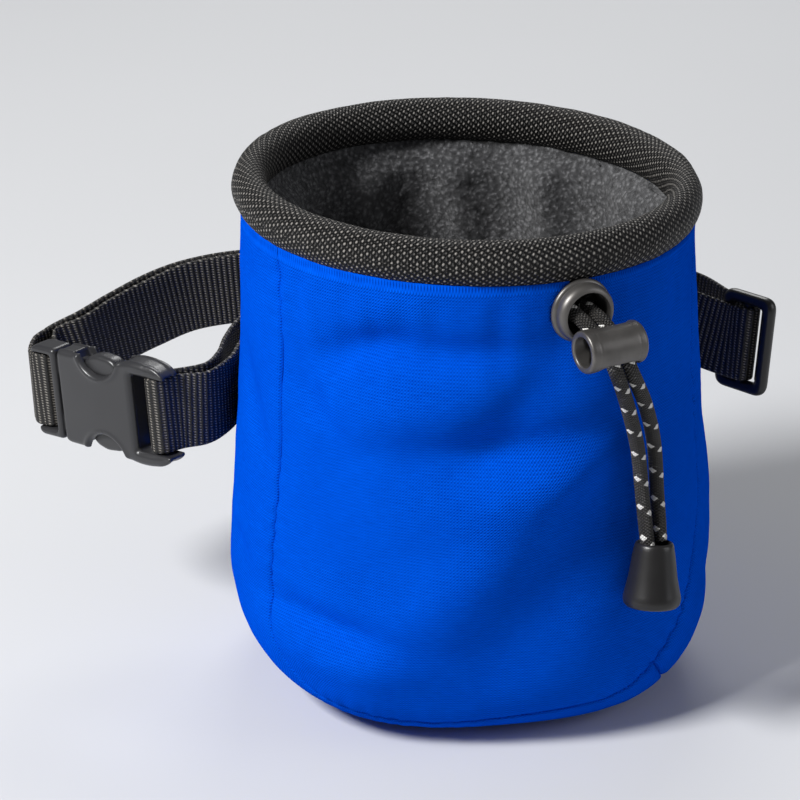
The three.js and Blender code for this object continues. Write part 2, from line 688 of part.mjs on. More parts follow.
const backRight = stretch([
  { across: 1.385, back: 0.56, middle: 0.946 },
  { across: 1.3, back: 0.77, middle: 0.951 },
  { across: 1.14, back: 0.96, middle: 0.96 },
  { across: 0.9, back: 1.1, middle: 0.973 },
  { across: 0.6, back: 1.17, middle: 0.988 },
], sliderUp);
const backOnBag = onBag([
  { angle: 166, middle: 1, layer: 2 },
  { angle: 180, middle: 1, layer: 1.1 },
  { angle: -168, middle: 1.005, layer: 2.4 },
]);
const backLeft = stretch([
  { across: -0.45, back: 1.18, middle: 1.012 },
  { across: -0.68, back: 1.22, middle: 1.017 },
  { across: -0.9, back: 1.235, middle: 1.015 },
  { across: -1.15, back: 1.215, middle: 0.998 },
  { across: -1.36, back: 1.145, middle: 0.968 },
  { across: -1.54, back: 1.05, middle: 0.937 },
  { across: -1.69, back: 0.955, middle: 0.907 },
]);

// Rows near the male bar, in its own frame: along the buckle and outwards, in shares of webbingWidth
function fromMale(rows) {
  const out = heading(buckleYaw + 90);
  return rows.map((row) => {
    const at = maleBar.clone().addScaledVector(heading(buckleYaw), row.along * webbingWidth);
    return station(at.addScaledVector(out, row.out * webbingWidth).setZ(row.middle * beltHeight));
  });
}

const outerBend = fromMale([
  { along: 0.48, out: -0.5, middle: 0.878 },
  { along: 0.46, out: -0.2, middle: 0.866 },
]);
const maleWrap = wrap(maleBar, buckleYaw + 90, buckleYaw + 204, buckleUp, maleLead);
const innerBend = fromMale([
  { along: 0.26, out: -0.36, middle: 0.868 },
  { along: 0.34, out: -0.56, middle: 0.88 },
]);
const innerTail = stretch([
  { across: -1.665, back: 0.905, middle: 0.907 },
  { across: -1.515, back: 1.005, middle: 0.937 },
  { across: -1.335, back: 1.1, middle: 0.968 },
  { across: -1.135, back: 1.17, middle: 0.998 },
  { across: -0.9, back: 1.19, middle: 1.015 },
  { across: -0.7, back: 1.178, middle: 1.017 },
]);

const beltStations = [
  femaleTail, femaleWrap, mainLeft, mainOnBag, mainRight, sliderWrap, backRight, backOnBag, backLeft,
  outerBend, maleWrap, innerBend, innerTail,
].flat();

// Stations filled in on a smooth curve, no further apart than a limit
function smoothStations(stations, limit) {
  const path = new THREE.CatmullRomCurve3(stations.map((s) => s.at), false, 'centripetal');
  const last = stations.length - 1;
  const result = [];
  for (let i = 0; i < last; i += 1) {
    const parts = Math.max(1, Math.round(stations[i].at.distanceTo(stations[i + 1].at) / limit));
    for (let k = 0; k < parts; k += 1) {
      const up = stations[i].up.clone().lerp(stations[i + 1].up, k / parts).normalize();
      result.push(station(path.getPoint((i + k / parts) / last), up));
    }
  }
  result.push(stations[last]);
  return result;
}

const beltLine = smoothStations(beltStations, 7);
addPiece('belt_webbing', strap(beltLine, webbingWidth, webbingThickness), webbingBlack);

// Buckle: both halves are drawn along X from the female bar and turned into place
const buckleGroup = new THREE.Group();
buckleGroup.position.copy(femaleBar);
buckleGroup.rotation.set(0, buckleDip, radians(buckleYaw), 'ZYX');
bag.add(buckleGroup);
const railInside = webbingWidth / 2 + gap;
const halfHeight = buckleHeight / 2;

// A flat plate from an outline of x and z, with its thickness across Y
function plate(outline, thickness, bevel) {
  const shape = new THREE.Shape(outline.map(([x, z]) => new THREE.Vector2(x, z)));
  const edges = { bevelThickness: bevel, bevelSize: bevel, bevelOffset: -bevel, bevelSegments: 1 };
  const options = { depth: thickness - 2 * bevel, bevelEnabled: bevel > 0, ...edges };
  const geometry = new THREE.ExtrudeGeometry(shape, options);
  geometry.rotateX(Math.PI / 2);
  geometry.translate(0, thickness / 2 - bevel, 0);
  return solidOf(geometry);
}

function bar(x, length) {
  const geometry = new THREE.CylinderGeometry(barRadius, barRadius, length, 12);
  geometry.rotateX(Math.PI / 2);
  geometry.translate(x, 0, 0);
  return solidOf(geometry);
}

function block(low, high) {
  const geometry = new THREE.BoxGeometry(high[0] - low[0], high[1] - low[1], high[2] - low[2]);
  geometry.translate((low[0] + high[0]) / 2, (low[1] + high[1]) / 2, (low[2] + high[2]) / 2);
  return solidOf(geometry);
}

const bodyStart = barWrap + webbingThickness / 2 + slotLength;
const bodyEnd = bodyStart + femaleLength;
const notchAt = bodyStart + femaleLength * 0.42;

// Upper half of the female outline from its body end to its rail end, then mirrored below
const femaleUpper = [[bodyEnd, halfHeight - 0.8]];
const notchRise = halfHeight + notchRadius - notchDepth;
const notchSteps = 8;
const notchHalf = Math.acos((notchRadius - notchDepth) / notchRadius);
for (let i = 0; i <= notchSteps; i += 1) {
  const turn = notchHalf - 2 * notchHalf * i / notchSteps;
  femaleUpper.push([notchAt + notchRadius * Math.sin(turn), notchRise - notchRadius * Math.cos(turn)]);
}
femaleUpper.push([bodyStart, halfHeight + 1]);
femaleUpper.push([-railEnd * 0.3, halfHeight + 0.8]);
femaleUpper.push([-railEnd, halfHeight - 1]);
femaleUpper.push([-railEnd, railInside]);
femaleUpper.push([bodyStart, railInside]);
const mirrored = femaleUpper.map(([x, z]) => [x, -z]).reverse();
const femaleSolid = plate([...femaleUpper, ...mirrored], buckleThickness, 1)
  .add(bar(0, railInside * 2 + 1))
  .subtract(block(
    [bodyStart + throatLength, -pocketThickness / 2, femaleWall - halfHeight],
    [bodyEnd + 1, pocketThickness / 2, halfHeight - femaleWall],
  ))
  .subtract(block(
    [notchAt - notchRadius, -pocketThickness / 2, -halfHeight - notchCover],
    [notchAt + notchRadius, pocketThickness / 2, halfHeight + notchCover],
  ));
addPiece('buckle_female', geometryOf(femaleSolid), acetalGrey, buckleGroup);

// Male: frame with its bar, and two arms that run inside the female and bulge in its notches
const frameStart = bodyEnd + maleFrameGap;
const frameEnd = bucklePitch + barRadius + maleBarCover;
const frameInside = frameStart + maleFrameRail;
const frameWall = halfHeight - maleFrameInset;
const frameOutline = [
  [frameStart, frameWall], [frameEnd - 1, frameWall], [frameEnd, frameWall - 1], [frameEnd, railInside],
  [frameInside, railInside], [frameInside, -railInside], [frameEnd, -railInside],
  [frameEnd, 1 - frameWall], [frameEnd - 1, -frameWall], [frameStart, -frameWall],
];
const armTop = halfHeight - femaleWall - gap;
const armThickness = pocketThickness - 2 * gap;

function arm(side) {
  const outline = [
    [frameStart + 1, armTop], [notchAt + notchRadius - 1, armTop], [notchAt + armShoulder, halfHeight - 0.6],
    [notchAt, halfHeight - 0.2], [notchAt - armShoulder, halfHeight - 1.4],
    [notchAt - armNose, halfHeight - armSlope], [notchAt - armNose, armTop - armHeight],
    [frameStart + 1, armTop - armHeight],
  ];
  return plate(outline.map(([x, z]) => [x, side * z]), armThickness, 0);
}

const maleSolid = plate(frameOutline, buckleThickness - maleThinner, 0.5)
  .add(bar(bucklePitch, railInside * 2 + 1))
  .add(arm(1))
  .add(arm(-1));
addPiece('buckle_male', geometryOf(maleSolid), acetalGrey, buckleGroup);

// Slider: a frame with a middle bar that the webbing turns on, and a bar at each end
const sliderGroup = new THREE.Group();
sliderGroup.position.copy(sliderBar);
const sliderAxes = new THREE.Matrix4().makeBasis(
  sliderOut, new THREE.Vector3().crossVectors(sliderUp, sliderOut), sliderUp,
);
sliderGroup.quaternion.setFromRotationMatrix(sliderAxes);
bag.add(sliderGroup);
const sliderHalf = sliderLength / 2;
const sliderTall = railInside + sliderRail;
const sliderOutline = [
  [sliderHalf, sliderTall - sliderCorner], [sliderHalf - sliderCorner * 0.3, sliderTall - sliderCorner * 0.3],
  [sliderHalf - sliderCorner, sliderTall], [sliderCorner - sliderHalf, sliderTall],
  [sliderCorner * 0.3 - sliderHalf, sliderTall - sliderCorner * 0.3],
  [-sliderHalf, sliderTall - sliderCorner],
];
const sliderLower = sliderOutline.map(([x, z]) => [x, -z]).reverse();
const sliderSolid = plate([...sliderOutline, ...sliderLower], sliderThickness, 0.6)
  .subtract(block(
    [sliderRail - sliderHalf, -sliderThickness, -railInside],
    [sliderHalf - sliderRail, sliderThickness, railInside],
  ))
  .add(block(
    [sliderHalf - sliderRail - sliderLedge, sliderThickness / 3, -railInside],
    [sliderHalf - sliderRail, sliderThickness / 2, railInside],
  ))
  .add(bar(0, railInside * 2 + 1));
addPiece('belt_slider', geometryOf(sliderSolid), acetalGrey, sliderGroup);

// Belt keeper: an upright webbing loop on the back of the bag, which the belt runs through
const keeperClear = 2 * layerStep + keeperSlack;
const keeperInside = webbingWidth / 2 + keeperMargin;
const keeperRows = [
  { rise: -keeperInside - keeperFoot, out: 0 },
  { rise: -keeperInside - webbingThickness, out: 0 },
  { rise: -keeperInside, out: keeperClear },
  { rise: 0, out: keeperClear },
  { rise: keeperInside, out: keeperClear },
  { rise: keeperInside + webbingThickness, out: 0 },
  { rise: keeperInside + keeperFoot, out: 0 },
];
const keeperStations = keeperRows.map((row) => {
  const middle = beltHeight + row.rise;
  const foot = wallPoint(180, middle / rimTop).y;
  const back = row.out > 0 ? bagReach(180, beltHeight) : foot;
  const at = new THREE.Vector3(0, back + gap + webbingThickness / 2 + row.out, middle);
  return station(at, new THREE.Vector3(1, 0, 0));
});
addPiece('belt_keeper', strap(keeperStations, keeperWidth, webbingThickness), webbingBlack);

export default bag;
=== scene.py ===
# Climbing chalk bag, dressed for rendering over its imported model.
# +Z up, the front towards -Y, the buckle at -X. Sizes are in millimetres and turned to metres as a mesh is
# made.
import math

import bpy
import numpy as np
from mathutils import Matrix, Vector, kdtree, noise


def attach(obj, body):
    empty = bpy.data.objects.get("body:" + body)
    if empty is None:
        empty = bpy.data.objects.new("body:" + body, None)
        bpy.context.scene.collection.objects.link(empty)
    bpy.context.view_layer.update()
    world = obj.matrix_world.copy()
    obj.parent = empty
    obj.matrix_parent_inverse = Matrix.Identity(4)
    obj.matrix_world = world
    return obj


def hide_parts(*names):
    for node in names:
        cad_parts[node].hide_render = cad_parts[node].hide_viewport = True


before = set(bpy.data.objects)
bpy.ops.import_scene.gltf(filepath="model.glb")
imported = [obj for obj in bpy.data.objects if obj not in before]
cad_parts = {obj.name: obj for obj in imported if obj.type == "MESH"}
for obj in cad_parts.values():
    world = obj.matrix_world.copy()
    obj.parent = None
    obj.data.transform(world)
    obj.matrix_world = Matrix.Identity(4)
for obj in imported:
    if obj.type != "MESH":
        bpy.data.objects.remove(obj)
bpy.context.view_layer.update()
mm = 0.001
scene = bpy.context.scene
bpy.ops.object.select_all(action="DESELECT")


def smoothStep(value, low, high):
    t = np.clip((np.asarray(value, float) - low) / (high - low), 0, 1)
    return t * t * (3 - 2 * t)


def heading(degrees):
    return np.array([math.cos(math.radians(degrees)), math.sin(math.radians(degrees)), 0])


def unit(vector):
    return vector / np.linalg.norm(vector)


def smoothPath(points, step):
    # Centripetal spline through the points, walked at about the given step. Returns places and their share
    # of a point.
    points = [np.asarray(p, float) for p in points]
    ends = [2 * points[0] - points[1]] + points + [2 * points[-1] - points[-2]]
    places, shares = [], []
    for i in range(len(points) - 1):
        p0, p1, p2, p3 = ends[i:i + 4]
        d0, d1, d2 = (math.sqrt(np.linalg.norm(b - a)) for a, b in ((p0, p1), (p1, p2), (p2, p3)))
        slope1 = ((p1 - p0) / d0 - (p2 - p0) / (d0 + d1) + (p2 - p1) / d1) * d1
        slope2 = ((p2 - p1) / d1 - (p3 - p1) / (d1 + d2) + (p3 - p2) / d2) * d1
        count = max(1, round(np.linalg.norm(p2 - p1) / step))
        for k in range(count):
            t = k / count
            places.append(p1 + slope1 * t + (3 * (p2 - p1) - 2 * slope1 - slope2) * t * t
                          + (2 * (p1 - p2) + slope1 + slope2) * t ** 3)
            shares.append(i + t)
    places.append(points[-1])
    shares.append(len(points) - 1)
    return np.array(places), np.array(shares)


def meshPiece(name, vertices, faces, uvs=None):
    mesh = bpy.data.meshes.new(name)
    mesh.from_pydata([tuple(v) for v in np.asarray(vertices) * mm], [], faces)
    piece = bpy.data.objects.new(name, mesh)
    scene.collection.objects.link(piece)
    if uvs is not None:
        layer = mesh.uv_layers.new(name="surface")
        loops = np.zeros(len(mesh.loops), int)
        mesh.loops.foreach_get("vertex_index", loops)
        layer.data.foreach_set("uv", (np.asarray(uvs)[loops] * mm).ravel())
    mesh.shade_smooth()
    return piece


def sweptFaces(rings, row):
    # Quads between rings of row places each
    return [(i * row + k, i * row + k + 1, (i + 1) * row + k + 1, (i + 1) * row + k)
            for i in range(rings - 1) for k in range(row - 1)]


def pick(piece):
    bpy.ops.object.select_all(action="DESELECT")
    piece.select_set(True)
    bpy.context.view_layer.objects.active = piece


def mergeDoubles(piece):
    pick(piece)
    bpy.ops.object.mode_set(mode="EDIT")
    bpy.ops.mesh.select_all(action="SELECT")
    bpy.ops.mesh.remove_doubles(threshold=0.001 * mm)
    bpy.ops.object.mode_set(mode="OBJECT")


def applyModifier(piece, kind, **settings):
    pick(piece)
    modifier = piece.modifiers.new(kind.title(), kind)
    for key, value in settings.items():
        setattr(modifier, key, value)
    bpy.ops.object.modifier_apply(modifier=modifier.name)


def finishPiece(piece, material, slot, *nodes):
    piece.data.materials.clear()
    piece.data.materials.append(material)
    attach(piece, "root")
    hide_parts(*nodes)
    return piece


# Camera at the photograph's angle, worked out for a picture of 800 x 800
view = {"azimuth": -9.5, "elevation": 23.93, "distance": 750, "aimRight": -17.07, "aimUp": 74.79,
        "focalPixels": 2841}
turn, rise = math.radians(view["azimuth"]), math.radians(view["elevation"])
right = Vector((math.cos(turn), math.sin(turn), 0))
back = Vector((math.sin(turn) * math.cos(rise), -math.cos(turn) * math.cos(rise), math.sin(rise)))
up = back.cross(right)
aim = right * view["aimRight"] * mm + Vector((0, 0, view["aimUp"] * mm))
bpy.ops.object.camera_add()
camera = bpy.context.object
camera.name = "photoCamera"
camera.data.sensor_width = 36
camera.data.lens = view["focalPixels"] * 36 / 800
camera.data.clip_start = 0.01
axes = Matrix((right, up, back)).transposed().to_4x4()
camera.matrix_world = Matrix.Translation(aim + back * view["distance"] * mm) @ axes
scene.camera = camera
print("camera set")


# Materials
def colour(code):
    parts = [int(code[i:i + 2], 16) / 255 for i in (1, 3, 5)]
    return [c / 12.92 if c <= 0.04045 else ((c + 0.055) / 1.055) ** 2.4 for c in parts] + [1]


def addNode(tree, kind, sockets=None, **settings):
    node = tree.nodes.new("ShaderNode" + kind)
    for key, value in settings.items():
        setattr(node, key, value)
    for key, value in (sockets or {}).items():
        if isinstance(value, bpy.types.NodeSocket):
            tree.links.new(value, node.inputs[key])
        else:
            node.inputs[key].default_value = value
    return node


def newMaterial(name, **sockets):
    material = bpy.data.materials.new(name)
    material.use_nodes = True
    tree = material.node_tree
    shader = tree.nodes["Principled BSDF"]
    for key, value in sockets.items():
        shader.inputs[key.replace("_", " ")].default_value = value
    return material, tree


class Signal:
    # A shader value that can be summed, multiplied and compared, so that a pattern reads as a formula
    def __init__(self, tree, socket):
        self.tree, self.socket = tree, socket

    def take(self, operation, other=0.0, clamp=False):
        pair = {0: self.socket, 1: other.socket if isinstance(other, Signal) else other}
        node = addNode(self.tree, "Math", pair, operation=operation, use_clamp=clamp)
        return Signal(self.tree, node.outputs[0])

    def __add__(self, other):
        return self.take("ADD", other)

    def __sub__(self, other):
        return self.take("SUBTRACT", other)

    def __mul__(self, other):
        return self.take("MULTIPLY", other)

    def __abs__(self):
        return self.take("ABSOLUTE")

    def sine(self):
        return self.take("SINE")

    def cosine(self):
        return self.take("COSINE")

    def above(self, limit):
        return self.take("GREATER_THAN", limit)


def noiseOver(tree, where, scale, detail, **more):
    sockets = {"Vector": where, "Scale": scale, "Detail": detail, **more}
    return Signal(tree, addNode(tree, "TexNoise", sockets).outputs[0])


def blend(share, dark, light):
    # Colours are hex codes, lists or sockets
    dark, light = (colour(end) if isinstance(end, str) else end for end in (dark, light))
    return addNode(share.tree, "Mix", {0: share.socket, 6: dark, 7: light}, data_type="RGBA").outputs[2]


def ramped(tone, low, middle, high):
    # Colour ramp through three stops of (position, hex code)
    ramp = addNode(tone.tree, "ValToRGB", {0: tone.socket})
    stops = ramp.color_ramp.elements
    for stop, (position, code) in zip(stops, (low, high)):
        stop.position = position
        stop.color = colour(code)
    stops.new(middle[0]).color = colour(middle[1])
    return ramp.outputs[0]


def dress(material, base, height, depth, strength, rough=None):
    # Base colour, relief of a depth in mm, and roughness where it isn't even
    tree = material.node_tree
    shader = tree.nodes["Principled BSDF"]
    bump = addNode(tree, "Bump", {"Height": height.socket, "Distance": depth * mm, "Strength": strength})
    tree.links.new(base, shader.inputs["Base Color"])
    tree.links.new(bump.outputs[0], shader.inputs["Normal"])
    if rough:
        tree.links.new(rough.socket, shader.inputs["Roughness"])
    return material


def split(tree, vector):
    parts = addNode(tree, "SeparateXYZ", {0: vector})
    return Signal(tree, parts.outputs[0]), Signal(tree, parts.outputs[1])


def surface(tree):
    # Unwrapped surface in metres: the vector and its two parts
    vector = addNode(tree, "UVMap", uv_map="surface").outputs[0]
    return vector, *split(tree, vector)


fullTurn = 2 * math.pi

# Plain-woven nylon, piece dyed a strong blue: each thread crossing is a small bump 0.8 mm apart, drawn a little
# coarser than the real thread so that it shows. The crossings are also painted lighter and the hollows between
# them darker, as painted highlight and painted shade, over slubs and clouds that are the cloth's own tone. Its
# gloss is a soft blue sheen.
nylon = {
    "light": "#005EE8", "dark": "#002C96", "sheen": "#0050FF", "thread": 0.8, "roughness": 0.62, "bump": 0.3,
    "slubs": (260, 2600, 1),
}


def blueNylon():
    material, tree = newMaterial("woven blue nylon", Roughness=nylon["roughness"], Specular_IOR_Level=0.0,
                                 Sheen_Weight=0.3, Sheen_Roughness=0.45, Sheen_Tint=colour(nylon["sheen"]))
    uv, across, along = surface(tree)
    pitch = fullTurn / (nylon["thread"] * mm)
    shift = (noiseOver(tree, uv, 260, 1) - 0.5) * 1.6
    warp = (across * pitch + shift).sine()
    weft = (along * pitch + shift).sine()
    height = (warp * weft * 0.32 + weft * 0.14).take("ADD", 0.5, clamp=True)
    slubScale = addNode(tree, "VectorMath", {0: uv, 1: nylon["slubs"]}, operation="MULTIPLY")
    slubs = noiseOver(tree, slubScale.outputs[0], 1, 2) * 0.42
    clouds = (noiseOver(tree, uv, 45, 3) - 0.5) * 0.3
    # Weave height lightens the crossings and darkens the hollows: painted highlight and painted shade; slubs and clouds
    # are the cloth's own tone.
    tone = (height * 0.62).take("ADD", slubs, clamp=True).take("ADD", clouds, clamp=True)
    relief = height + noiseOver(tree, uv, 90, 2) * 1.6
    return dress(material, blend(tone, nylon["dark"], nylon["light"]), relief, nylon["bump"], 0.9)


# Ballistic nylon tape, cut on the bias: a dense basket weave of near-black filament bundles whose crowns
# catch the light as rows of pale dots about a millimetre apart, painted into the colour as painted highlights,
# with painted shade in the hollows between.
tape = {"light": "#8C8883", "mid": "#0E0D0D", "dark": "#020202", "thread": 1.0, "bias": 33, "roughness": 0.55}


def ballisticTape():
    material, tree = newMaterial("ballistic nylon tape", Roughness=tape["roughness"], Specular_IOR_Level=0.22)
    uv = surface(tree)[0]
    turned = addNode(tree, "Mapping", {"Vector": uv, "Rotation": (0, 0, math.radians(tape["bias"]))})
    first, second = split(tree, turned.outputs[0])
    pitch = math.pi / (tape["thread"] * mm)
    cross = (first * pitch).sine() * (second * (pitch * 0.8)).sine()
    height = abs(cross) * (cross.above(0.0) * 0.4 + 0.6)
    tone = height * (noiseOver(tree, uv, 1500, 2) + 0.35)
    # The pale stop is a painted highlight on the crowns, the darkest stop painted shade in the hollows.
    base = ramped(tone, (0, tape["dark"]), (0.36, tape["mid"]), (0.8, tape["light"]))
    return dress(material, base, height, 0.45, 1.0)


# Knitted polyester fleece, brushed to a curly pile: no gloss at all. The curl tops are painted pale as a painted
# highlight and the pile near black down between the curls as painted shade, mid grey between
pile = {"tip": "#8A8A8C", "mid": "#424244", "root": "#0A0A0B", "curl": 1.15}


def brushedFleece():
    material, tree = newMaterial("brushed polyester fleece", Roughness=1.0, Specular_IOR_Level=0.1,
                                 Sheen_Weight=0.2, Sheen_Roughness=0.6)
    where = addNode(tree, "TexCoord").outputs["Object"]
    scale = 1 / (pile["curl"] * mm)
    cells = addNode(tree, "TexVoronoi", {"Vector": where, "Scale": scale}, feature="SMOOTH_F1")
    curls = Signal(tree, cells.outputs[0]) * -1.0 + 1.0
    height = curls * 0.55 + noiseOver(tree, where, scale * 1.3, 6, Roughness=0.75) * 0.75
    # The tip stop is a painted highlight on the curl tops, the root stop painted shade down between the curls.
    base = ramped(height, (0.36, pile["root"]), (0.7, pile["mid"]), (1, pile["tip"]))
    return dress(material, base, height, 1.3, 1.0)


# Polyester webbing, loom-woven with ribs across it: each rib is a row of knuckles that catch the light, painted
# into the colour as pale painted highlights, with painted shade in the near-black gaps between ribs and knuckles
ribbed = {"knuckleHighlight": "#827D76", "yarn": "#24211D", "gap": "#030303", "rib": 1.5, "dot": 0.76,
          "roughness": 0.62}


def polyesterWebbing():
    material, tree = newMaterial("black polyester webbing", Roughness=ribbed["roughness"])
    uv, along, across = surface(tree)
    rib = (along * (fullTurn / (ribbed["rib"] * mm))).cosine() * 0.5 + 0.5
    stagger = along * (1.1 * math.pi / (ribbed["rib"] * mm))
    dot = (across * (fullTurn / (ribbed["dot"] * mm)) + stagger).cosine() * 0.5 + 0.5
    height = rib * (dot * 0.65 + 0.35)
    tone = height * (noiseOver(tree, uv, 1900, 2) + 0.5)
    # The pale knuckle stop is a painted highlight, the near-black gap stop painted shade.
    base = ramped(tone, (0, ribbed["gap"]), (0.5, ribbed["yarn"]), (0.9, ribbed["knuckleHighlight"]))
    return dress(material, base, height, 0.4, 1.0)


# Braided polyester cord: dark plaited bundles, with painted shade near black in the grooves between them, and a
# pale reflective tracer that turns once in 8.3 mm.
# fleckTurn is half the tracer's width as an angle round the cord.
braid = {
    "dark": "#040404", "yarn": "#3E3B38", "fleck": "#EDEBE6", "pitch": 8.3, "strands": 10, "fleckTurn": 0.62,
    "roughness": 0.5,
}


def braidedCord():
    material, tree = newMaterial("braided polyester cord", Roughness=braid["roughness"])
    uv, along, around = surface(tree)
    # around runs 0 to 1 mm once round the cord
    spin = around * (fullTurn / mm)
    ring = along * (fullTurn / (braid["pitch"] * mm))
    half = braid["strands"] / 2
    plait = abs((spin * half + ring * half).sine() * (spin * half - ring * half).sine())
    tracer = (ring + spin).cosine().above(math.cos(braid["fleckTurn"]))
    crossing = ((spin - ring) * 2.0).cosine().above(0.1)
    speck = noiseOver(tree, uv, 2600, 2).above(0.66) * plait * 0.35
    # Where the plait is low the colour goes near black: painted shade in the grooves between bundles.
    yarns = blend(speck, blend(plait, braid["dark"], braid["yarn"]), braid["fleck"])
    return dress(material, blend(tracer * crossing, yarns, braid["fleck"]), plait, 0.3, 1.0)


# Moulded and plated things: an even tone that drifts a little in colour and gloss, with a fine grain
def evenFinish(name, dark, light, drifting, grain, rough, **sockets):
    # drifting is (scale, detail), grain is (scale, detail, depth in mm, strength), rough is the smoothest
    # value
    material, tree = newMaterial(name, **sockets)
    where = addNode(tree, "TexCoord").outputs["Object"]
    drift = noiseOver(tree, where, *drifting)
    grit = noiseOver(tree, where, *grain[:2])
    return dress(material, blend(drift, dark, light), grit, *grain[2:], rough=drift * 0.12 + rough)


# Resin from a spark-eroded mould: satin dark grey with soft wide highlights
def mouldedPlastic(name, code, roughness):
    light = colour(code)
    dark = [part * 0.78 for part in light[:3]] + [1]
    return evenFinish(name, dark, light, (140, 2), (1 / (0.35 * mm), 3, 0.035, 0.5), roughness - 0.05,
                      IOR=1.48)


# Zinc alloy with a black-nickel plate, tumbled satin: darker than steel, with bright rims
def blackNickel():
    return evenFinish("black nickel plated zinc", "#504E4C", "#767370", (220, 4), (220, 4, 0.03, 0.4), 0.34,
                      Metallic=0.7)


blueCloth = blueNylon()
rimTape = ballisticTape()
fleecePile = brushedFleece()
beltWebbing = polyesterWebbing()
cordBraid = braidedCord()
buckleAcetal = mouldedPlastic("moulded acetal", "#303032", 0.31)
cordEndPlastic = mouldedPlastic("moulded black nylon", "#1F1E1E", 0.33)
plating = blackNickel()
print("materials made")


# Draw cord: two strands of one cord, from inside the eyelet through the cord lock into the cord end
drawCord = {
    "diameter": 3.8,
    "leftStrand": [
        (14.3, -56.4, 122.5), (15.4, -59.2, 121.9), (17, -61.8, 120.8), (19, -64.2, 118.6), (21.2, -66.2,
                                                                                             115.7),
        (22.7, -67.3, 112.5), (24, -67.2, 109.2), (25.9, -65.6, 104.4), (28.1, -62.9, 98.4), (30.1, -60.3,
                                                                                              92.4),
        (31.9, -58, 86.4), (33.2, -56.3, 80.4), (34.1, -55.4, 74.4), (34.8, -55.4, 68.6), (35.3, -56.7, 62.9),
        (35.6, -58.5, 57.7),
    ],
    "rightStrand": [
        (18.4, -55.2, 122.6), (19.5, -57.9, 122), (21.1, -60.6, 121), (23.1, -62.9, 118.8), (25.2, -64.8,
                                                                                             115.9),
        (26.6, -65.8, 112.6), (27.9, -65.7, 109.2), (30.1, -63.7, 104.5), (32.6, -60.8, 99), (34.7, -58.1,
                                                                                              93.2),
        (36.5, -55.6, 87.3), (37.8, -53.7, 81.3), (38.6, -52.6, 75.3), (39.1, -52.5, 69.3), (39.4, -53.9,
                                                                                             63.3),
        (39.3, -56.3, 57.9),
    ],
    "sides": 40,
    "step": 0.2,
}


def cordPiece(name, points):
    line, _ = smoothPath(points, drawCord["step"])
    tangents = np.gradient(line, axis=0)
    tangents /= np.linalg.norm(tangents, axis=1)[:, None]
    travelled = np.concatenate([[0], np.cumsum(np.linalg.norm(np.diff(line, axis=0), axis=1))])
    normal = unit(np.cross(tangents[0], [0, 0, 1]))
    sides = drawCord["sides"]
    radius = drawCord["diameter"] / 2
    vertices, uvs = [], []
    for i, (place, tangent) in enumerate(zip(line, tangents)):
        normal = unit(normal - tangent * normal.dot(tangent))
        other = np.cross(tangent, normal)
        for k in range(sides + 1):
            spin = 2 * math.pi * k / sides
            half = braid["strands"] / 2
            climb = half * 2 * math.pi * travelled[i] / braid["pitch"]
            plait = abs(math.sin(spin * half + climb) * math.sin(spin * half - climb))
            out = radius - 0.16 + 0.16 * plait
            vertices.append(place + out * (math.cos(spin) * normal + math.sin(spin) * other))
            uvs.append((travelled[i], k / sides))
    row = sides + 1
    faces = sweptFaces(len(line), row)
    first = len(vertices)
    vertices += [line[0], line[-1]]
    uvs += [(0, 0), (travelled[-1], 0)]
    final = (len(line) - 1) * row
    for k in range(sides):
        faces.append((first, k + 1, k))
        faces.append((first + 1, final + k, final + k + 1))
    piece = meshPiece(name, vertices, faces, uvs)
    mergeDoubles(piece)
    return piece, line, travelled[-1]


leftCord, leftLine, leftLength = cordPiece("draw_cord_left_braid", drawCord["leftStrand"])
rightCord, rightLine, rightLength = cordPiece("draw_cord_right_braid", drawCord["rightStrand"])
finishPiece(leftCord, cordBraid, "cord", "draw_cord_left")
finishPiece(rightCord, cordBraid, "cord", "draw_cord_right")
print("cords made", round(leftLength, 1), round(rightLength, 1))


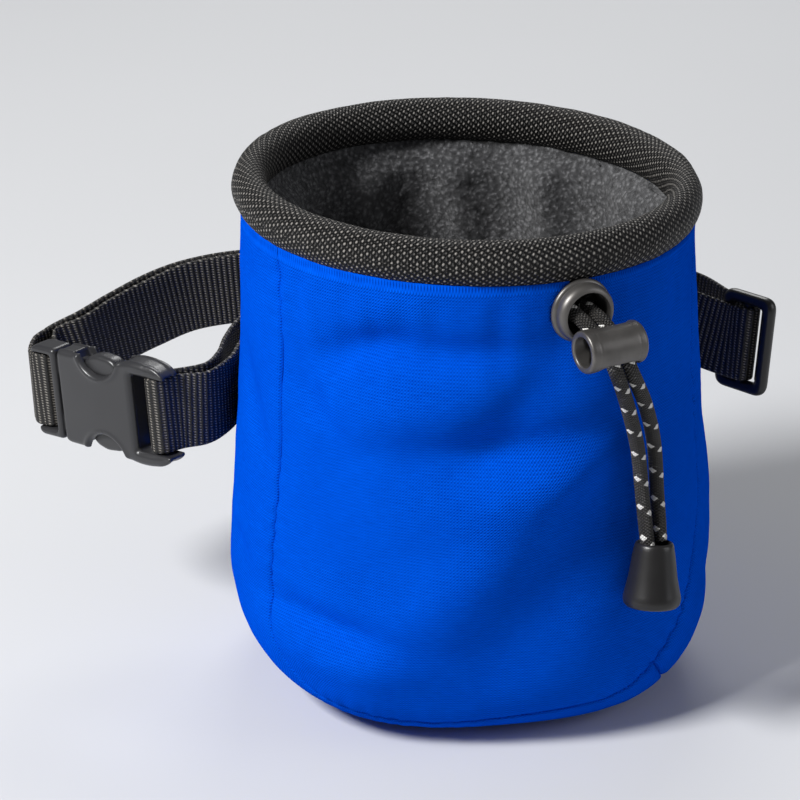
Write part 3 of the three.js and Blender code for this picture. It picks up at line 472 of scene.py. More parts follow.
# Bag form: the same sections and folds as the model, lengths as shares of bodyRadius, heights as shares of
# rimTop
bagForm = {
    "bodyRadius": 57.5,
    "rimTop": 140.4,
    "sections": [
        # height, half, shift, front, back, square
        (0, 0.76, 0.06, 0.7, 0.7, 2.7),
        (0.035, 0.896, 0.05, 0.87, 0.86, 2.6),
        (0.09, 1.03, 0.035, 0.985, 0.975, 2.4),
        (0.17, 1.105, 0.031, 1.045, 1.035, 2.2),
        (0.28, 1.117, 0.031, 1.08, 1.06, 2),
        (0.45, 1.083, 0.027, 1.061, 1.05, 2),
        (0.65, 1.043, 0.019, 1.04, 1.04, 2),
        (0.82, 1.024, 0.01, 1.024, 1.024, 2),
        (1, 1, 0, 1.006, 1.006, 2),
    ],
    "folds": [
        # angle, height, long, wide, turn, depth
        (-38, 0.79, 0.26, 0.085, 22, -0.05),
        (-14, 0.8, 0.36, 0.085, 0, -0.05),
        (-22, 0.69, 0.5, 0.15, 14, 0.042),
        (2, 0.71, 0.34, 0.12, 48, -0.038),
        (2, 0.625, 0.5, 0.1, 6, -0.05),
        (4, 0.545, 0.5, 0.12, 20, 0.034),
        (-6, 0.42, 0.85, 0.17, 52, 0.045),
        (12, 0.36, 0.8, 0.2, 52, -0.05),
        (-46, 0.245, 0.34, 0.075, -4, -0.05),
        (-40, 0.17, 0.36, 0.09, 0, 0.028),
        (-50, 0.66, 0.2, 0.08, -42, -0.034),
        (-78, 0.6, 0.3, 0.09, -55, -0.028),
        (-84, 0.3, 0.14, 0.07, 0, -0.03),
        (88, 0.42, 0.3, 0.12, 70, 0.024),
        (74, 0.22, 0.14, 0.08, 20, -0.028),
        (128, 0.4, 0.6, 0.14, 35, -0.032),
        (160, 0.24, 0.5, 0.12, -20, -0.032),
        (-136, 0.34, 0.55, 0.14, -40, -0.032),
        (-165, 0.42, 0.4, 0.12, 15, 0.024),
    ],
}
columns = dict(height=0, half=1, shift=2, front=3, back=4, square=5)
sectionTable = np.array(bagForm["sections"], float)
radius = bagForm["bodyRadius"]
rimTop = bagForm["rimTop"]


def sectionValue(column, share):
    # Smooth curve through one column of the sections
    heights = sectionTable[:, 0]
    values = sectionTable[:, columns[column]]
    last = len(heights) - 1
    slopes = np.array([(values[min(i + 1, last)] - values[max(i - 1, 0)])
                       / (heights[min(i + 1, last)] - heights[max(i - 1, 0)]) for i in range(last + 1)])
    share = np.asarray(share, float)
    row = np.clip(np.searchsorted(heights, share, side="left") - 1, 0, last - 1)
    span = heights[row + 1] - heights[row]
    t = (share - heights[row]) / span
    return ((2 * t ** 3 - 3 * t ** 2 + 1) * values[row] + (t ** 3 - 2 * t ** 2 + t) * span * slopes[row]
            + (3 * t ** 2 - 2 * t ** 3) * values[row + 1] + (t ** 3 - t ** 2) * span * slopes[row + 1])


def foldStrength(share):
    return smoothStep(share, 0.02, 0.12) * (1 - smoothStep(share, 0.86, 0.93))


def foldSum(angle, share, table):
    depth = np.zeros(np.broadcast(angle, share).shape)
    for centre, height, long, wide, slant, deep in table:
        across = np.radians((angle - centre + 540) % 360 - 180)
        rise = (share - height) * rimTop / radius
        slant = math.radians(slant)
        along = (across * math.cos(slant) + rise * math.sin(slant)) / long
        aside = (rise * math.cos(slant) - across * math.sin(slant)) / wide
        depth += deep * np.exp(-along ** 2 - aside ** 2)
    return depth


def signedPower(value, power):
    return np.sign(value) * np.abs(value) ** power


def wallPoint(angle, share, out=0.0):
    # Outside of the cloth, with an extra outward shift in mm
    turned = np.radians(angle)
    power = 2 / sectionValue("square", share)
    side = signedPower(np.sin(turned), power)
    ahead = signedPower(np.cos(turned), power)
    reach = np.where(ahead > 0, sectionValue("front", share), sectionValue("back", share))
    x = (sectionValue("shift", share) + sectionValue("half", share) * side) * radius + out * np.sin(turned)
    y = -reach * ahead * radius - out * np.cos(turned)
    return np.stack([x, y, np.asarray(share, float) * rimTop + 0 * x], -1)


def foldedPoint(angle, share):
    return wallPoint(angle, share, foldSum(angle, share, bagForm["folds"]) * foldStrength(share) * radius)


rim = {"radius": 60, "width": 9, "height": 11.6, "drop": 1.5, "around": 420, "sides": 44}


def underRim(points, room):
    # Height of the rim's underside over the points, less some room
    middle = rim["radius"] - rim["width"] / 2
    across = (np.hypot(points[..., 0], points[..., 1]) - middle) / (rim["width"] / 2 + 0.3)
    hang = (rim["height"] / 2 + room) * np.sqrt(np.clip(1 - across ** 2, 0, 1))
    return rimTop - rim["height"] / 2 - hang - rim["drop"] * points[..., 0] / rim["radius"]


# Shell of blue nylon, cut along its seams into the same four panels as the model
shell = {
    "frontEdge": [
        # across, height
        (-0.91, 0.65), (-0.94, 0.46), (-0.965, 0.35), (-0.985, 0.25), (-0.98, 0.195), (-0.95, 0.155),
        (-0.88, 0.11), (-0.79, 0.084), (-0.66, 0.067), (-0.5, 0.056), (-0.3, 0.053), (-0.08, 0.06),
        (0.15, 0.07), (0.36, 0.076), (0.5, 0.08), (0.62, 0.1), (0.74, 0.14), (0.84, 0.185), (0.91, 0.24),
        (0.96, 0.32), (0.985, 0.42), (0.95, 0.65),
    ],
    "joinLean": 28,
    "joinReach": 0.793,
    "wall": 1.0,
    "seamDepth": 1.15,
    "seamWidth": 1.7,
    "puckerDepth": 0.34,
    "puckerReach": 6.0,
    "puckerPitch": 5.2,
    "gatherDepth": 0.22,
    "eyeletAngle": 16.5,
    "eyeletHeight": 122,
    "eyeletOpening": 6.5,
}
edgeLine = [(-0.91, 1)] + shell["frontEdge"] + [(0.95, 1)]
frontSeam = np.array(edgeLine) * [radius, rimTop]
mirrored = frontSeam[::-1] * [-1, 1]
backSeam = (frontSeam + mirrored) / 2


def roundedSeam(line, step=0.4):
    # The seam eases round the corners of its chosen points
    padded = [(x, y, 0) for x, y in line]
    return smoothPath(padded, step)[0][:, :2]


frontSeam = roundedSeam(frontSeam)
backSeam = roundedSeam(backSeam)


def insideLine(x, z, line):
    # Signed distance to the seam in the plane of x and z, positive inside the panel
    result = np.full(x.shape, 1e9)
    inside = np.zeros(x.shape, bool)
    for (x0, z0), (x1, z1) in zip(line[:-1], line[1:]):
        dx, dz = x1 - x0, z1 - z0
        t = np.clip(((x - x0) * dx + (z - z0) * dz) / (dx * dx + dz * dz), 0, 1)
        result = np.minimum(result, np.hypot(x - x0 - t * dx, z - z0 - t * dz))
        crosses = (z0 > z) != (z1 > z)
        inside ^= crosses & (x < x0 + dx * (z - z0) / (dz if dz else 1e-9))
    inside |= (z >= line[0][1]) & (x > line[0][0]) & (x < line[-1][0])
    return np.where(inside, result, -result)


def spread(low, high, plan):
    # Values from low to high with a step that changes from place to place
    values = [low]
    while values[-1] < high:
        here = values[-1]
        values.append(here + min(step for start, end, step in plan if start <= here <= end))
    values[-1] = high
    return np.array(values)


def frontAngle(x, share, ahead):
    # Angle whose wall point has the given x, on the front or on the back
    side = np.clip((x / radius - sectionValue("shift", share)) / sectionValue("half", share), -1, 1)
    turned = np.degrees(np.arcsin(signedPower(side, sectionValue("square", share) / 2)))
    return turned if ahead else 180 - turned


fineTurns = [(-180, 180, 1.35), (-70, -56, 0.42), (56, 70, 0.42), (-124, -110, 0.45), (110, 124, 0.45),
             (-56, -30, 0.95), (30, 56, 0.95)]
turns = spread(-180, 180, fineTurns)[:-1]
heights = spread(0, 128, [(0, 128, 1.3), (4, 16, 0.45), (16, 36, 0.8)])
levels = heights / rimTop
grid = np.stack(np.meshgrid(turns, levels, indexing="ij"), -1)
columnCount, rowCount = grid.shape[:2]
places = wallPoint(grid[..., 0], grid[..., 1])
aheadOf = places[..., 1] < 0
frontSide = np.where(aheadOf, insideLine(places[..., 0], places[..., 2], frontSeam), -5)
backSide = np.where(aheadOf, -5, insideLine(places[..., 0], places[..., 2], backSeam))
lean = math.radians(shell["joinLean"])
joinSide = (places[..., 0] * math.cos(lean) + places[..., 2] * math.sin(lean)) - shell["joinReach"] * radius

values = np.stack([frontSide, backSide, joinSide], -1).reshape(-1, 3).tolist()
spots = grid.reshape(-1, 2).tolist()
cutCache = {}


def cutPoint(a, b, field):
    key = (min(a, b), max(a, b), field)
    if key not in cutCache:
        a, b = key[0], key[1]
        t = values[a][field] / (values[a][field] - values[b][field])
        first, other = spots[a][0], spots[b][0]
        if other - first > 180:
            other -= 360
        if first - other > 180:
            other += 360
        spots.append([first + (other - first) * t, spots[a][1] + (spots[b][1] - spots[a][1]) * t])
        values.append([u + (v - u) * t for u, v in zip(values[a], values[b])])
        values[-1][field] = 0.0
        cutCache[key] = len(spots) - 1
    return cutCache[key]


def divide(face, field):
    # One face into its part on the positive side and its part on the negative side of a seam
    kept, rest = [], []
    for i, a in enumerate(face):
        b = face[(i + 1) % len(face)]
        va, vb = values[a][field], values[b][field]
        if va >= 0:
            kept.append(a)
        if va <= 0:
            rest.append(a)
        if va * vb < 0:
            middle = cutPoint(a, b, field)
            kept.append(middle)
            rest.append(middle)
    positive = kept if len(kept) > 2 and any(values[v][field] > 0 for v in kept) else []
    negative = rest if len(rest) > 2 and any(values[v][field] < 0 for v in rest) else []
    return positive, negative


panels = {"front": [], "back": [], "base": [], "right": []}
for i in range(columnCount):
    k = (i + 1) % columnCount
    for j in range(rowCount - 1):
        face = [i * rowCount + j, k * rowCount + j, k * rowCount + j + 1, i * rowCount + j + 1]
        front, rest = divide(face, 0)
        behind, strip = divide(rest, 1) if rest else ([], [])
        joined, plain = divide(strip, 2) if strip else ([], [])
        for part, name in ((front, "front"), (behind, "back"), (joined, "right"), (plain, "base")):
            if part:
                panels[name].append(part)

spotArray = np.array(spots)
angles, shares = spotArray[:, 0], spotArray[:, 1]


def seamCurve(line, ahead):
    keep = line[line[:, 1] < 0.93 * rimTop]
    share = keep[:, 1] / rimTop
    return wallPoint(frontAngle(keep[:, 0], share, ahead), share)


joinShares = np.linspace(0.02, 0.14, 60)
joinX = (shell["joinReach"] * radius - joinShares * rimTop * math.sin(lean)) / math.cos(lean)
joinCurve = np.concatenate([wallPoint(frontAngle(joinX, joinShares, True), joinShares),
                            wallPoint(frontAngle(joinX, joinShares, False), joinShares)[::-1]])
joinOnStrip = (insideLine(joinCurve[:, 0], joinCurve[:, 2], frontSeam) < 0) | (joinCurve[:, 1] > 0)
seams = [seamCurve(frontSeam, True), seamCurve(backSeam, False), joinCurve[joinOnStrip]]
plainPlaces = wallPoint(angles, shares)
seamLow = np.full(len(spots), 1e9)
seamRun = np.zeros(len(spots))
for number, curve in enumerate(seams):
    tree = kdtree.KDTree(len(curve))
    for i, place in enumerate(curve):
        tree.insert(Vector(place), i)
    tree.balance()
    travelled = np.concatenate([[0], np.cumsum(np.linalg.norm(np.diff(curve, axis=0), axis=1))])
    for i, place in enumerate(plainPlaces):
        if seamLow[i] < 0.01:
            continue
        _, nearest, distance = tree.find(Vector(place))
        if distance < seamLow[i]:
            seamLow[i] = distance
            seamRun[i] = travelled[nearest] + 1000 * number
onSeam = np.zeros(len(spots), bool)
onSeam[[v for v in cutCache.values()]] = True
seamLow[onSeam] = np.minimum(seamLow[onSeam], 0.02)


def clothOut(angle, share, near, run):
    # Folds, the rounded drop into the seams and the small puckers that their stitches pull
    out = foldSum(angle, share, bagForm["folds"]) * foldStrength(share) * radius
    inward = 1 - np.clip(near / shell["seamWidth"], 0, 1)
    out -= shell["seamDepth"] * (1 - np.sqrt(np.clip(1 - inward ** 2, 0, 1)))
    out -= 0.45 * np.exp(-near / 4)
    wave = np.sin(2 * math.pi * run / shell["puckerPitch"] + 2.2 * np.sin(run / 7.3) + 1.4 * np.sin(run / 2.9))
    strength = 0.55 + 0.45 * np.sin(run / 11.7 + 1.3)
    out += shell["puckerDepth"] * wave * strength * np.exp(-near / shell["puckerReach"]) * np.clip(near / 0.8, 0, 1)
    gathers = np.sin(angle * 0.37 + 1.9 * np.sin(angle * 0.11)) + 0.6 * np.sin(angle * 0.83 + 1.3)
    out += shell["gatherDepth"] * gathers * smoothStep(share, 0.68,
                                                       0.86) * (1 - smoothStep(share, 0.885, 0.91))
    return out


topFade = 1 - smoothStep(shares, 0.885, 0.91)
outShift = clothOut(angles, shares, seamLow, seamRun) * np.clip(topFade + 0.25, 0, 1)
folded = wallPoint(angles, shares, outShift)
drift = np.array([noise.noise(Vector(p) / 16) * 0.35 + noise.noise(Vector(p) / 6) * 0.12 for p in folded])
folded = wallPoint(angles, shares, outShift + drift * foldStrength(shares))
top = shares >= levels[-1] - 1e-6
folded[top, 2] = underRim(folded[top], 0.1)
folded[:, 2] = np.maximum(folded[:, 2], 0)
around = np.radians(angles) * 61
upward = shares * rimTop
clothUvs = np.stack([around, upward], -1)


def panelPiece(name, faces, node, extraVertices=None, extraFaces=None):
    used = sorted({v for face in faces for v in face})
    order = {v: i for i, v in enumerate(used)}
    renumbered = [tuple(order[v] for v in face) for face in faces]
    vertices = folded[used].tolist()
    uvs = clothUvs[used].tolist()
    if extraFaces:
        ring = [order[i * rowCount] for i in range(columnCount)]
        centre = sectionTable[0, 2] * radius
        rings = [ring]
        for share in (0.75, 0.5, 0.25):
            start = len(vertices)
            for v in ring:
                x, y, _ = vertices[v]
                vertices.append([centre + (x - centre) * share, y * share, 0])
                uvs.append([centre + (x - centre) * share, y * share])
            rings.append(list(range(start, start + len(ring))))
        vertices.append([centre, 0, 0])
        uvs.append([centre, 0])
        pole = len(vertices) - 1
        for outer, inner in zip(rings[:-1], rings[1:]):
            for i in range(len(ring)):
                k = (i + 1) % len(ring)
                renumbered.append((outer[k], outer[i], inner[i], inner[k]))
        for i in range(len(ring)):
            renumbered.append((rings[-1][(i + 1) % len(ring)], rings[-1][i], pole))
    piece = meshPiece(name, vertices, renumbered, uvs)
    applyModifier(piece, "SOLIDIFY", thickness=shell["wall"] * mm, offset=-1)
    piece.data.shade_smooth()
    return finishPiece(piece, blueCloth, "shell", node)


# The cloth is cut out behind the eyelet
eyeletSpot = wallPoint(np.array([shell["eyeletAngle"]]), np.array([shell["eyeletHeight"] / rimTop]))[0]
eyeletDistance = np.linalg.norm(plainPlaces - eyeletSpot, axis=1)
frontFaces = [face for face in panels["front"] if np.mean(eyeletDistance[face]) > shell["eyeletOpening"]]
panelPiece("front_panel_cloth", frontFaces, "front_panel")
panelPiece("back_panel_cloth", panels["back"], "back_panel")
panelPiece("side_strip_cloth", panels["base"], "side_base_strip", extraFaces=True)
panelPiece("side_strip_right_cloth", panels["right"], "side_strip_right")
print("shell made", len(spots))


# Lining of fleece: hangs under the rim, falls in upright folds, with the step of its own seam at the back
lining = {
    "wall": 1.9,
    "room": 1.7,
    "folds": [
        # angle, spread, depth
        (-158, 9, 0.05), (-118, 10, 0.09), (-84, 9, 0.05), (-44, 11, 0.05), (8, 12, 0.04), (62, 10, 0.05),
        (112, 9, 0.06), (146, 8, 0.1), (172, 7, 0.06),
    ],
    "curlDepth": 0.5,
    "curlSize": 1.9,
}
liningTurns = spread(-180, 180, [(-180, 180, 0.85)])[:-1]
liningHeights = spread(0, 128, [(0, 128, 2.6), (58, 128, 0.85)])
angleGrid, heightGrid = np.meshgrid(liningTurns, liningHeights, indexing="ij")
shareGrid = heightGrid / rimTop


def liningFold(angle, share):
    depth = np.zeros(angle.shape)
    for centre, wide, deep in lining["folds"]:
        turned = (angle - centre + 540) % 360 - 180 + 3 * np.sin(share * 9 + centre)
        depth += deep * np.exp(-(turned / wide) ** 2)
    low = smoothStep(share, 0.1, 0.5)
    high = 1 - smoothStep(share, 0.84, 0.93)
    return depth * radius * low * high


foldRows = np.array(bagForm["folds"])
deepestDent = -foldSum(foldRows[:, 0], foldRows[:, 1], bagForm["folds"]).min()
print("deepest dent", round(deepestDent, 4))
dentRoom = deepestDent * radius * foldStrength(shareGrid)
inside = lining["room"] + dentRoom + liningFold(angleGrid, shareGrid) + lining["wall"]
liningPoints = wallPoint(angleGrid, shareGrid, -inside)
floorRise = (lining["wall"] + lining["room"] + 1) * (1 - smoothStep(shareGrid, 0.0, 0.12))
liningPoints[..., 2] += floorRise
flat = liningPoints.reshape(-1, 3)
curls = np.zeros(len(flat))
for i, place in enumerate(flat):
    spot = Vector(place) / lining["curlSize"]
    curls[i] = 0.8 * noise.noise(spot) + 0.5 * noise.noise(spot * 2.1) + 0.6 * noise.noise(spot * 0.3)
turnFlat = np.radians(angleGrid.reshape(-1))
curlShift = lining["curlDepth"] * curls * smoothStep(shareGrid.reshape(-1), 0.1, 0.3)
flat[:, 0] -= curlShift * np.sin(turnFlat)
flat[:, 1] += curlShift * np.cos(turnFlat)
liningPoints = flat.reshape(liningPoints.shape)
liningPoints[:, -1, 2] = underRim(liningPoints[:, -1], 0.1)
liningColumns, liningRows = liningPoints.shape[:2]
liningFaces = []
for i in range(liningColumns):
    k = (i + 1) % liningColumns
    for j in range(liningRows - 1):
        liningFaces.append((i * liningRows + j, i * liningRows + j + 1, k * liningRows + j + 1,
                            k * liningRows + j))
liningVertices = liningPoints.reshape(-1, 3).tolist()
liningVertices.append(np.mean(liningPoints[:, 0], axis=0).tolist())
for i in range(liningColumns):
    k = (i + 1) % liningColumns
    liningFaces.append((k * liningRows, len(liningVertices) - 1, i * liningRows))
fleece = meshPiece("lining_fleece", liningVertices, liningFaces)
applyModifier(fleece, "SOLIDIFY", thickness=lining["wall"] * mm, offset=-1)
fleece.data.shade_smooth()
finishPiece(fleece, fleecePile, "fleece", "fleece_lining")
print("lining made")


# Rim: foam roll in its bias-cut tape, slightly uneven as sewn work is
aroundCount, sideCount = rim["around"], rim["sides"]
middle = rim["radius"] - rim["width"] / 2
tip = math.asin(rim["drop"] / rim["radius"])
rimVertices, rimUvs = [], []
sectionPerimeter = math.pi * (rim["width"] + rim["height"]) / 2
for i in range(aroundCount + 1):
    turned = 2 * math.pi * i / aroundCount
    spot = Vector((math.cos(turned), math.sin(turned), 0))
    swell = 0.22 * noise.noise(spot * 6) + 0.12 * noise.noise(spot * 17)
    for k in range(sideCount + 1):
        spin = 2 * math.pi * k / sideCount
        pucker = 0.0
        below = max(0.0, -math.sin(spin)) ** 6
        if below > 0:
            pucker = 0.22 * below * noise.noise(spot * 52 + Vector((0, 0, 3)))
        x = middle + (rim["width"] / 2 + swell + pucker) * math.cos(spin)
        z = (rim["height"] / 2 + swell * 0.6 + pucker) * math.sin(spin)
        px, py = x * math.cos(turned), x * math.sin(turned)
        rimVertices.append((px * math.cos(tip) + z * math.sin(tip), py,
                            rimTop - rim["height"] / 2 + z * math.cos(tip) - px * math.sin(tip)))
        rimUvs.append((turned * rim["radius"], spin / (2 * math.pi) * sectionPerimeter))
rimFaces = [face[::-1] for face in sweptFaces(aroundCount + 1, sideCount + 1)]
rimRoll = meshPiece("rim_binding_tape", rimVertices, rimFaces, rimUvs)
mergeDoubles(rimRoll)
finishPiece(rimRoll, rimTape, "binding", "rim_binding")
print("rim made")


# Belt: one run of webbing along the same stations as the model
belt = {
    "width": 20.8,
    "thickness": 1.4,
    "height": 82,
    "gap": 0.3,
    "barRadius": 1.5,
    "buckleYaw": 130.7,
    "bucklePitch": 41.4,
    "female": (-1.391, 0.094, 0.906),
    "maleHeight": 0.859,
    "slider": (1.431, 0.36, 0.941),
    "sliderYaw": -52,
    "sliderLean": 6,
    "leads": {"female": 4.6, "slider": 5, "male": 3.4},
    "step": 0.4,
    "ribDepth": 0.1,
}
zUp = np.array([0, 0, 1.0])
barWrap = belt["barRadius"] + belt["gap"] + belt["thickness"] / 2
layerStep = belt["thickness"] + belt["gap"]


def placed(across, back, middle):
    return np.array([across * radius, back * radius, middle * belt["height"]], float)


femaleBar = placed(*belt["female"])
maleBar = femaleBar + heading(belt["buckleYaw"]) * belt["bucklePitch"]
maleBar[2] = belt["maleHeight"] * belt["height"]
buckleRun = maleBar - femaleBar
buckleDip = math.atan2(-buckleRun[2], math.hypot(buckleRun[0], buckleRun[1]))
buckleUp = heading(belt["buckleYaw"]) * math.sin(buckleDip) + zUp * math.cos(buckleDip)
sliderOut = heading(belt["sliderYaw"])
sliderBar = placed(*belt["slider"])
sliderLean = math.radians(belt["sliderLean"])
sliderUp = heading(belt["sliderYaw"] + 90) * math.sin(sliderLean) + zUp * math.cos(sliderLean)


def stretch(rows, upward=zUp):
    return [(placed(*row), upward) for row in rows]


def wrap(bar, start, end, upward, lead):
    way = 1 if end > start else -1

    def sideAt(degrees):
        side = heading(degrees)
        return unit(side - upward * side.dot(upward))

    def runAt(degrees):
        return np.cross(upward, sideAt(degrees)) * way

    turned = [bar + sideAt(start + (end - start) * i / 7) * barWrap for i in range(8)]
    stations = [turned[0] - runAt(start) * lead] + turned + [turned[-1] + runAt(end) * lead]
    return [(place, upward) for place in stations]


def bagReach(angle, middle):
    reach = 0
    for side in (-6, -3, 0, 3, 6):
        for rise in (-0.5, -0.25, 0, 0.25, 0.5):
            point = foldedPoint(np.array([angle + side]),
                                np.array([(middle + rise * belt["width"]) / rimTop]))[0]
            reach = max(reach, math.hypot(point[0], point[1]))
    return reach


def onBag(rows):
    stations = []
    for angle, share, layer in rows:
        middle = share * belt["height"]
        point = foldedPoint(np.array([angle]), np.array([middle / rimTop]))[0]
        away = bagReach(angle, middle) + belt["gap"] + belt["thickness"] / 2 + layer * layerStep
        plan = point[:2] / np.linalg.norm(point[:2]) * away
        stations.append((np.array([plan[0], plan[1], middle]), zUp))
    return stations


def fromMale(rows):
    along, out = heading(belt["buckleYaw"]), heading(belt["buckleYaw"] + 90)
    stations = []
    for alongShare, outShare, middle in rows:
        place = maleBar + (along * alongShare + out * outShare) * belt["width"]
        place[2] = middle * belt["height"]
        stations.append((place, zUp))
    return stations


beltStations = (
    # Free stretches: across, back, height. On the bag: angle, height, layers off. Heights are shares of the
    # belt's.
    stretch([(-0.665, 0.965, 0.951), (-0.83, 0.82, 0.939), (-0.96, 0.67, 0.927), (-1.045, 0.5, 0.917),
             (-1.095, 0.34, 0.912), (-1.165, 0.225, 0.909)])
    + wrap(femaleBar, 118, 298, buckleUp, belt["leads"]["female"])
    + stretch([(-1.17, 0.125, 0.909)])
    + onBag([(-104, 0.912, 0.4), (-113, 0.918, 0), (-123, 0.929, 0), (-134, 0.946, 0), (-146, 0.967, 0),
             (-158, 0.985, 0), (-169, 0.998, 0), (180, 1, 0), (169, 1, 0.3)])
    + stretch([(0.4, 1.03, 1.006), (0.64, 0.92, 1.002), (0.88, 0.76, 0.991), (1.12, 0.575, 0.974)], sliderUp)
    + wrap(sliderBar, belt["sliderYaw"] - 90, belt["sliderYaw"] + 68, sliderUp, belt["leads"]["slider"])
    + stretch([(1.385, 0.56, 0.946), (1.3, 0.77, 0.951), (1.14, 0.96, 0.96), (0.9, 1.1, 0.973),
               (0.6, 1.17, 0.988)], sliderUp)
    + onBag([(166, 1, 2), (180, 1, 1.1), (-168, 1.005, 2.4)])
    + stretch([(-0.45, 1.18, 1.012), (-0.68, 1.22, 1.017), (-0.9, 1.235, 1.015), (-1.15, 1.215, 0.998),
               (-1.36, 1.145, 0.968), (-1.54, 1.05, 0.937), (-1.69, 0.955, 0.907)])
    + fromMale([(0.48, -0.5, 0.878), (0.46, -0.2, 0.866)])
    + wrap(maleBar, belt["buckleYaw"] + 90, belt["buckleYaw"] + 204, buckleUp, belt["leads"]["male"])
    + fromMale([(0.26, -0.36, 0.868), (0.34, -0.56, 0.88)])
    + stretch([(-1.665, 0.905, 0.907), (-1.515, 1.005, 0.937), (-1.335, 1.1, 0.968), (-1.135, 1.17, 0.998),
               (-0.9, 1.19, 1.015), (-0.7, 1.178, 1.017)])
)


def strapSection(width, thickness, edgePoints=4, flatPoints=9):
    # Outline of the webbing across its width, with soft round edges: (out, rise, length round the outline)
    half, round_ = width / 2, thickness / 2
    outline = []
    for k in range(flatPoints):
        outline.append((round_, -half + round_ + (width - thickness) * k / (flatPoints - 1)))
    for k in range(1, edgePoints):
        spin = math.pi * k / edgePoints
        outline.append((round_ * math.cos(spin), half - round_ + round_ * math.sin(spin)))
    for k in range(flatPoints):
        outline.append((-round_, half - round_ - (width - thickness) * k / (flatPoints - 1)))
    for k in range(1, edgePoints):
        spin = math.pi * k / edgePoints
        outline.append((-round_ * math.cos(spin), -half + round_ - round_ * math.sin(spin)))
    return outline


def webbingPiece(name, stations, width, thickness, step, firstUv=0.0):
    line, shares = smoothPath([place for place, _ in stations], step)
    ups = np.array([up_ for _, up_ in stations])
    low = np.clip(shares.astype(int), 0, len(stations) - 2)
    part = (shares - low)[:, None]
    upward = ups[low] * (1 - part) + ups[low + 1] * part
    runs = np.gradient(line, axis=0)
    runs /= np.linalg.norm(runs, axis=1)[:, None]
    outs = np.cross(runs, upward)
    outs /= np.linalg.norm(outs, axis=1)[:, None]
    rises = np.cross(outs, runs)
    travelled = np.concatenate([[0], np.cumsum(np.linalg.norm(np.diff(line, axis=0), axis=1))]) + firstUv
    outline = strapSection(width, thickness)
    row = len(outline) + 1
    vertices, uvs = [], []
    for i in range(len(line)):
        rib = belt["ribDepth"] * (0.5 * math.cos(2 * math.pi * travelled[i] / ribbed["rib"]) - 0.5)
        wave = 0.1 * math.sin(travelled[i] / 9.0) + 0.07 * math.sin(travelled[i] / 3.7 + 1)
        for k in range(row):
            out, rise_ = outline[k % len(outline)]
            side = 1 if out > 0 else -1
            vertices.append(line[i] + outs[i] * (out + side * rib * min(1, abs(out) / (thickness / 2)))
                            + rises[i] * (rise_ + (wave if abs(rise_) > width / 2 - thickness else 0)))
            round_ = rise_ if k < len(outline) / 2 else width + 2 - rise_
            uvs.append((travelled[i], round_))
    faces = sweptFaces(len(line), row)
    faces.append(tuple(range(row - 2, -1, -1)))
    last = (len(line) - 1) * row
    faces.append(tuple(last + k for k in range(row - 1)))
    piece = meshPiece(name, vertices, faces, uvs)
    return piece, travelled[-1] - firstUv


beltPiece, beltLength = webbingPiece("belt_webbing_woven", beltStations, belt["width"], belt["thickness"],
                                     belt["step"])
finishPiece(beltPiece, beltWebbing, "webbing", "belt_webbing")
print("belt made", round(beltLength))

keeper = {"width": 18, "foot": 6, "clear": 2 * layerStep + 0.9, "inside": belt["width"] / 2 + 1}
keeperStations = []
for rise_, out in ((-keeper["inside"] - keeper["foot"], 0), (-keeper["inside"] - belt["thickness"], 0),
                   (-keeper["inside"], keeper["clear"]), (0, keeper["clear"]), (keeper["inside"],
                                                                                keeper["clear"]),
                   (keeper["inside"] + belt["thickness"], 0), (keeper["inside"] + keeper["foot"], 0)):
    middle_ = belt["height"] + rise_
    foot = foldedPoint(np.array([180.0]), np.array([middle_ / rimTop]))[0][1]
    behind = bagReach(180, belt["height"]) if out > 0 else foot
    place = np.array([0, behind + belt["gap"] + belt["thickness"] / 2 + out, middle_])
    keeperStations.append((place, np.array([1.0, 0, 0])))
keeperPiece, _ = webbingPiece("belt_keeper_woven", keeperStations, keeper["width"], belt["thickness"] - 0.1,
                              0.4)
finishPiece(keeperPiece, beltWebbing, "webbing", "belt_keeper")
print("keeper made")


# Hardware
def turnedPiece(name, rings, segments=64, ends=True):
    # A ring extruded and scaled step by step, as on a lathe. rings holds (radius, height) in mm.
    bpy.ops.object.select_all(action="DESELECT")
    first, start = rings[0]
    bpy.ops.mesh.primitive_circle_add(vertices=segments, radius=first * mm, fill_type="NOTHING",
                                      location=(0, 0, start * mm))
    piece = bpy.context.object
    piece.name = name
    bpy.ops.object.transform_apply(location=True, rotation=True, scale=True)
    bpy.ops.object.mode_set(mode="EDIT")
    bpy.ops.mesh.select_all(action="SELECT")
    if ends:
        bpy.ops.mesh.edge_face_add()
    size, height = first, start
    for nextSize, nextHeight in rings[1:]:
        bpy.ops.mesh.extrude_region_move(TRANSFORM_OT_translate={"value": (0, 0, (nextHeight - height) * mm)})
        ratio = nextSize / size
        bpy.ops.transform.resize(value=(ratio, ratio, 1), center_override=(0, 0, nextHeight * mm))
        size, height = nextSize, nextHeight
    bpy.ops.mesh.select_all(action="SELECT")
    bpy.ops.mesh.remove_doubles(threshold=0.002 * mm)
    bpy.ops.mesh.normals_make_consistent(inside=False)
    bpy.ops.object.mode_set(mode="OBJECT")
    pick(piece)
    bpy.ops.object.shade_smooth_by_angle(angle=math.radians(40))
    return piece


def moveMesh(piece, matrix):
    # The place goes into the mesh, and the object stays at the origin
    piece.matrix_world = matrix
    pick(piece)
    bpy.ops.object.transform_apply(location=True, rotation=True, scale=True)
    return piece


def frameOf(origin, x, y, z):
    columns_ = [Vector(tuple(v)) for v in (x, y, z)]
    matrix = Matrix(columns_).transposed().to_4x4()
    return Matrix.Translation(Vector(tuple(origin)) * mm) @ matrix


def eased(inside, size):
    # Drop of a rounded edge at a distance inside an outline
    return size - np.sqrt(size ** 2 - (size - np.clip(inside, 0, size)) ** 2)


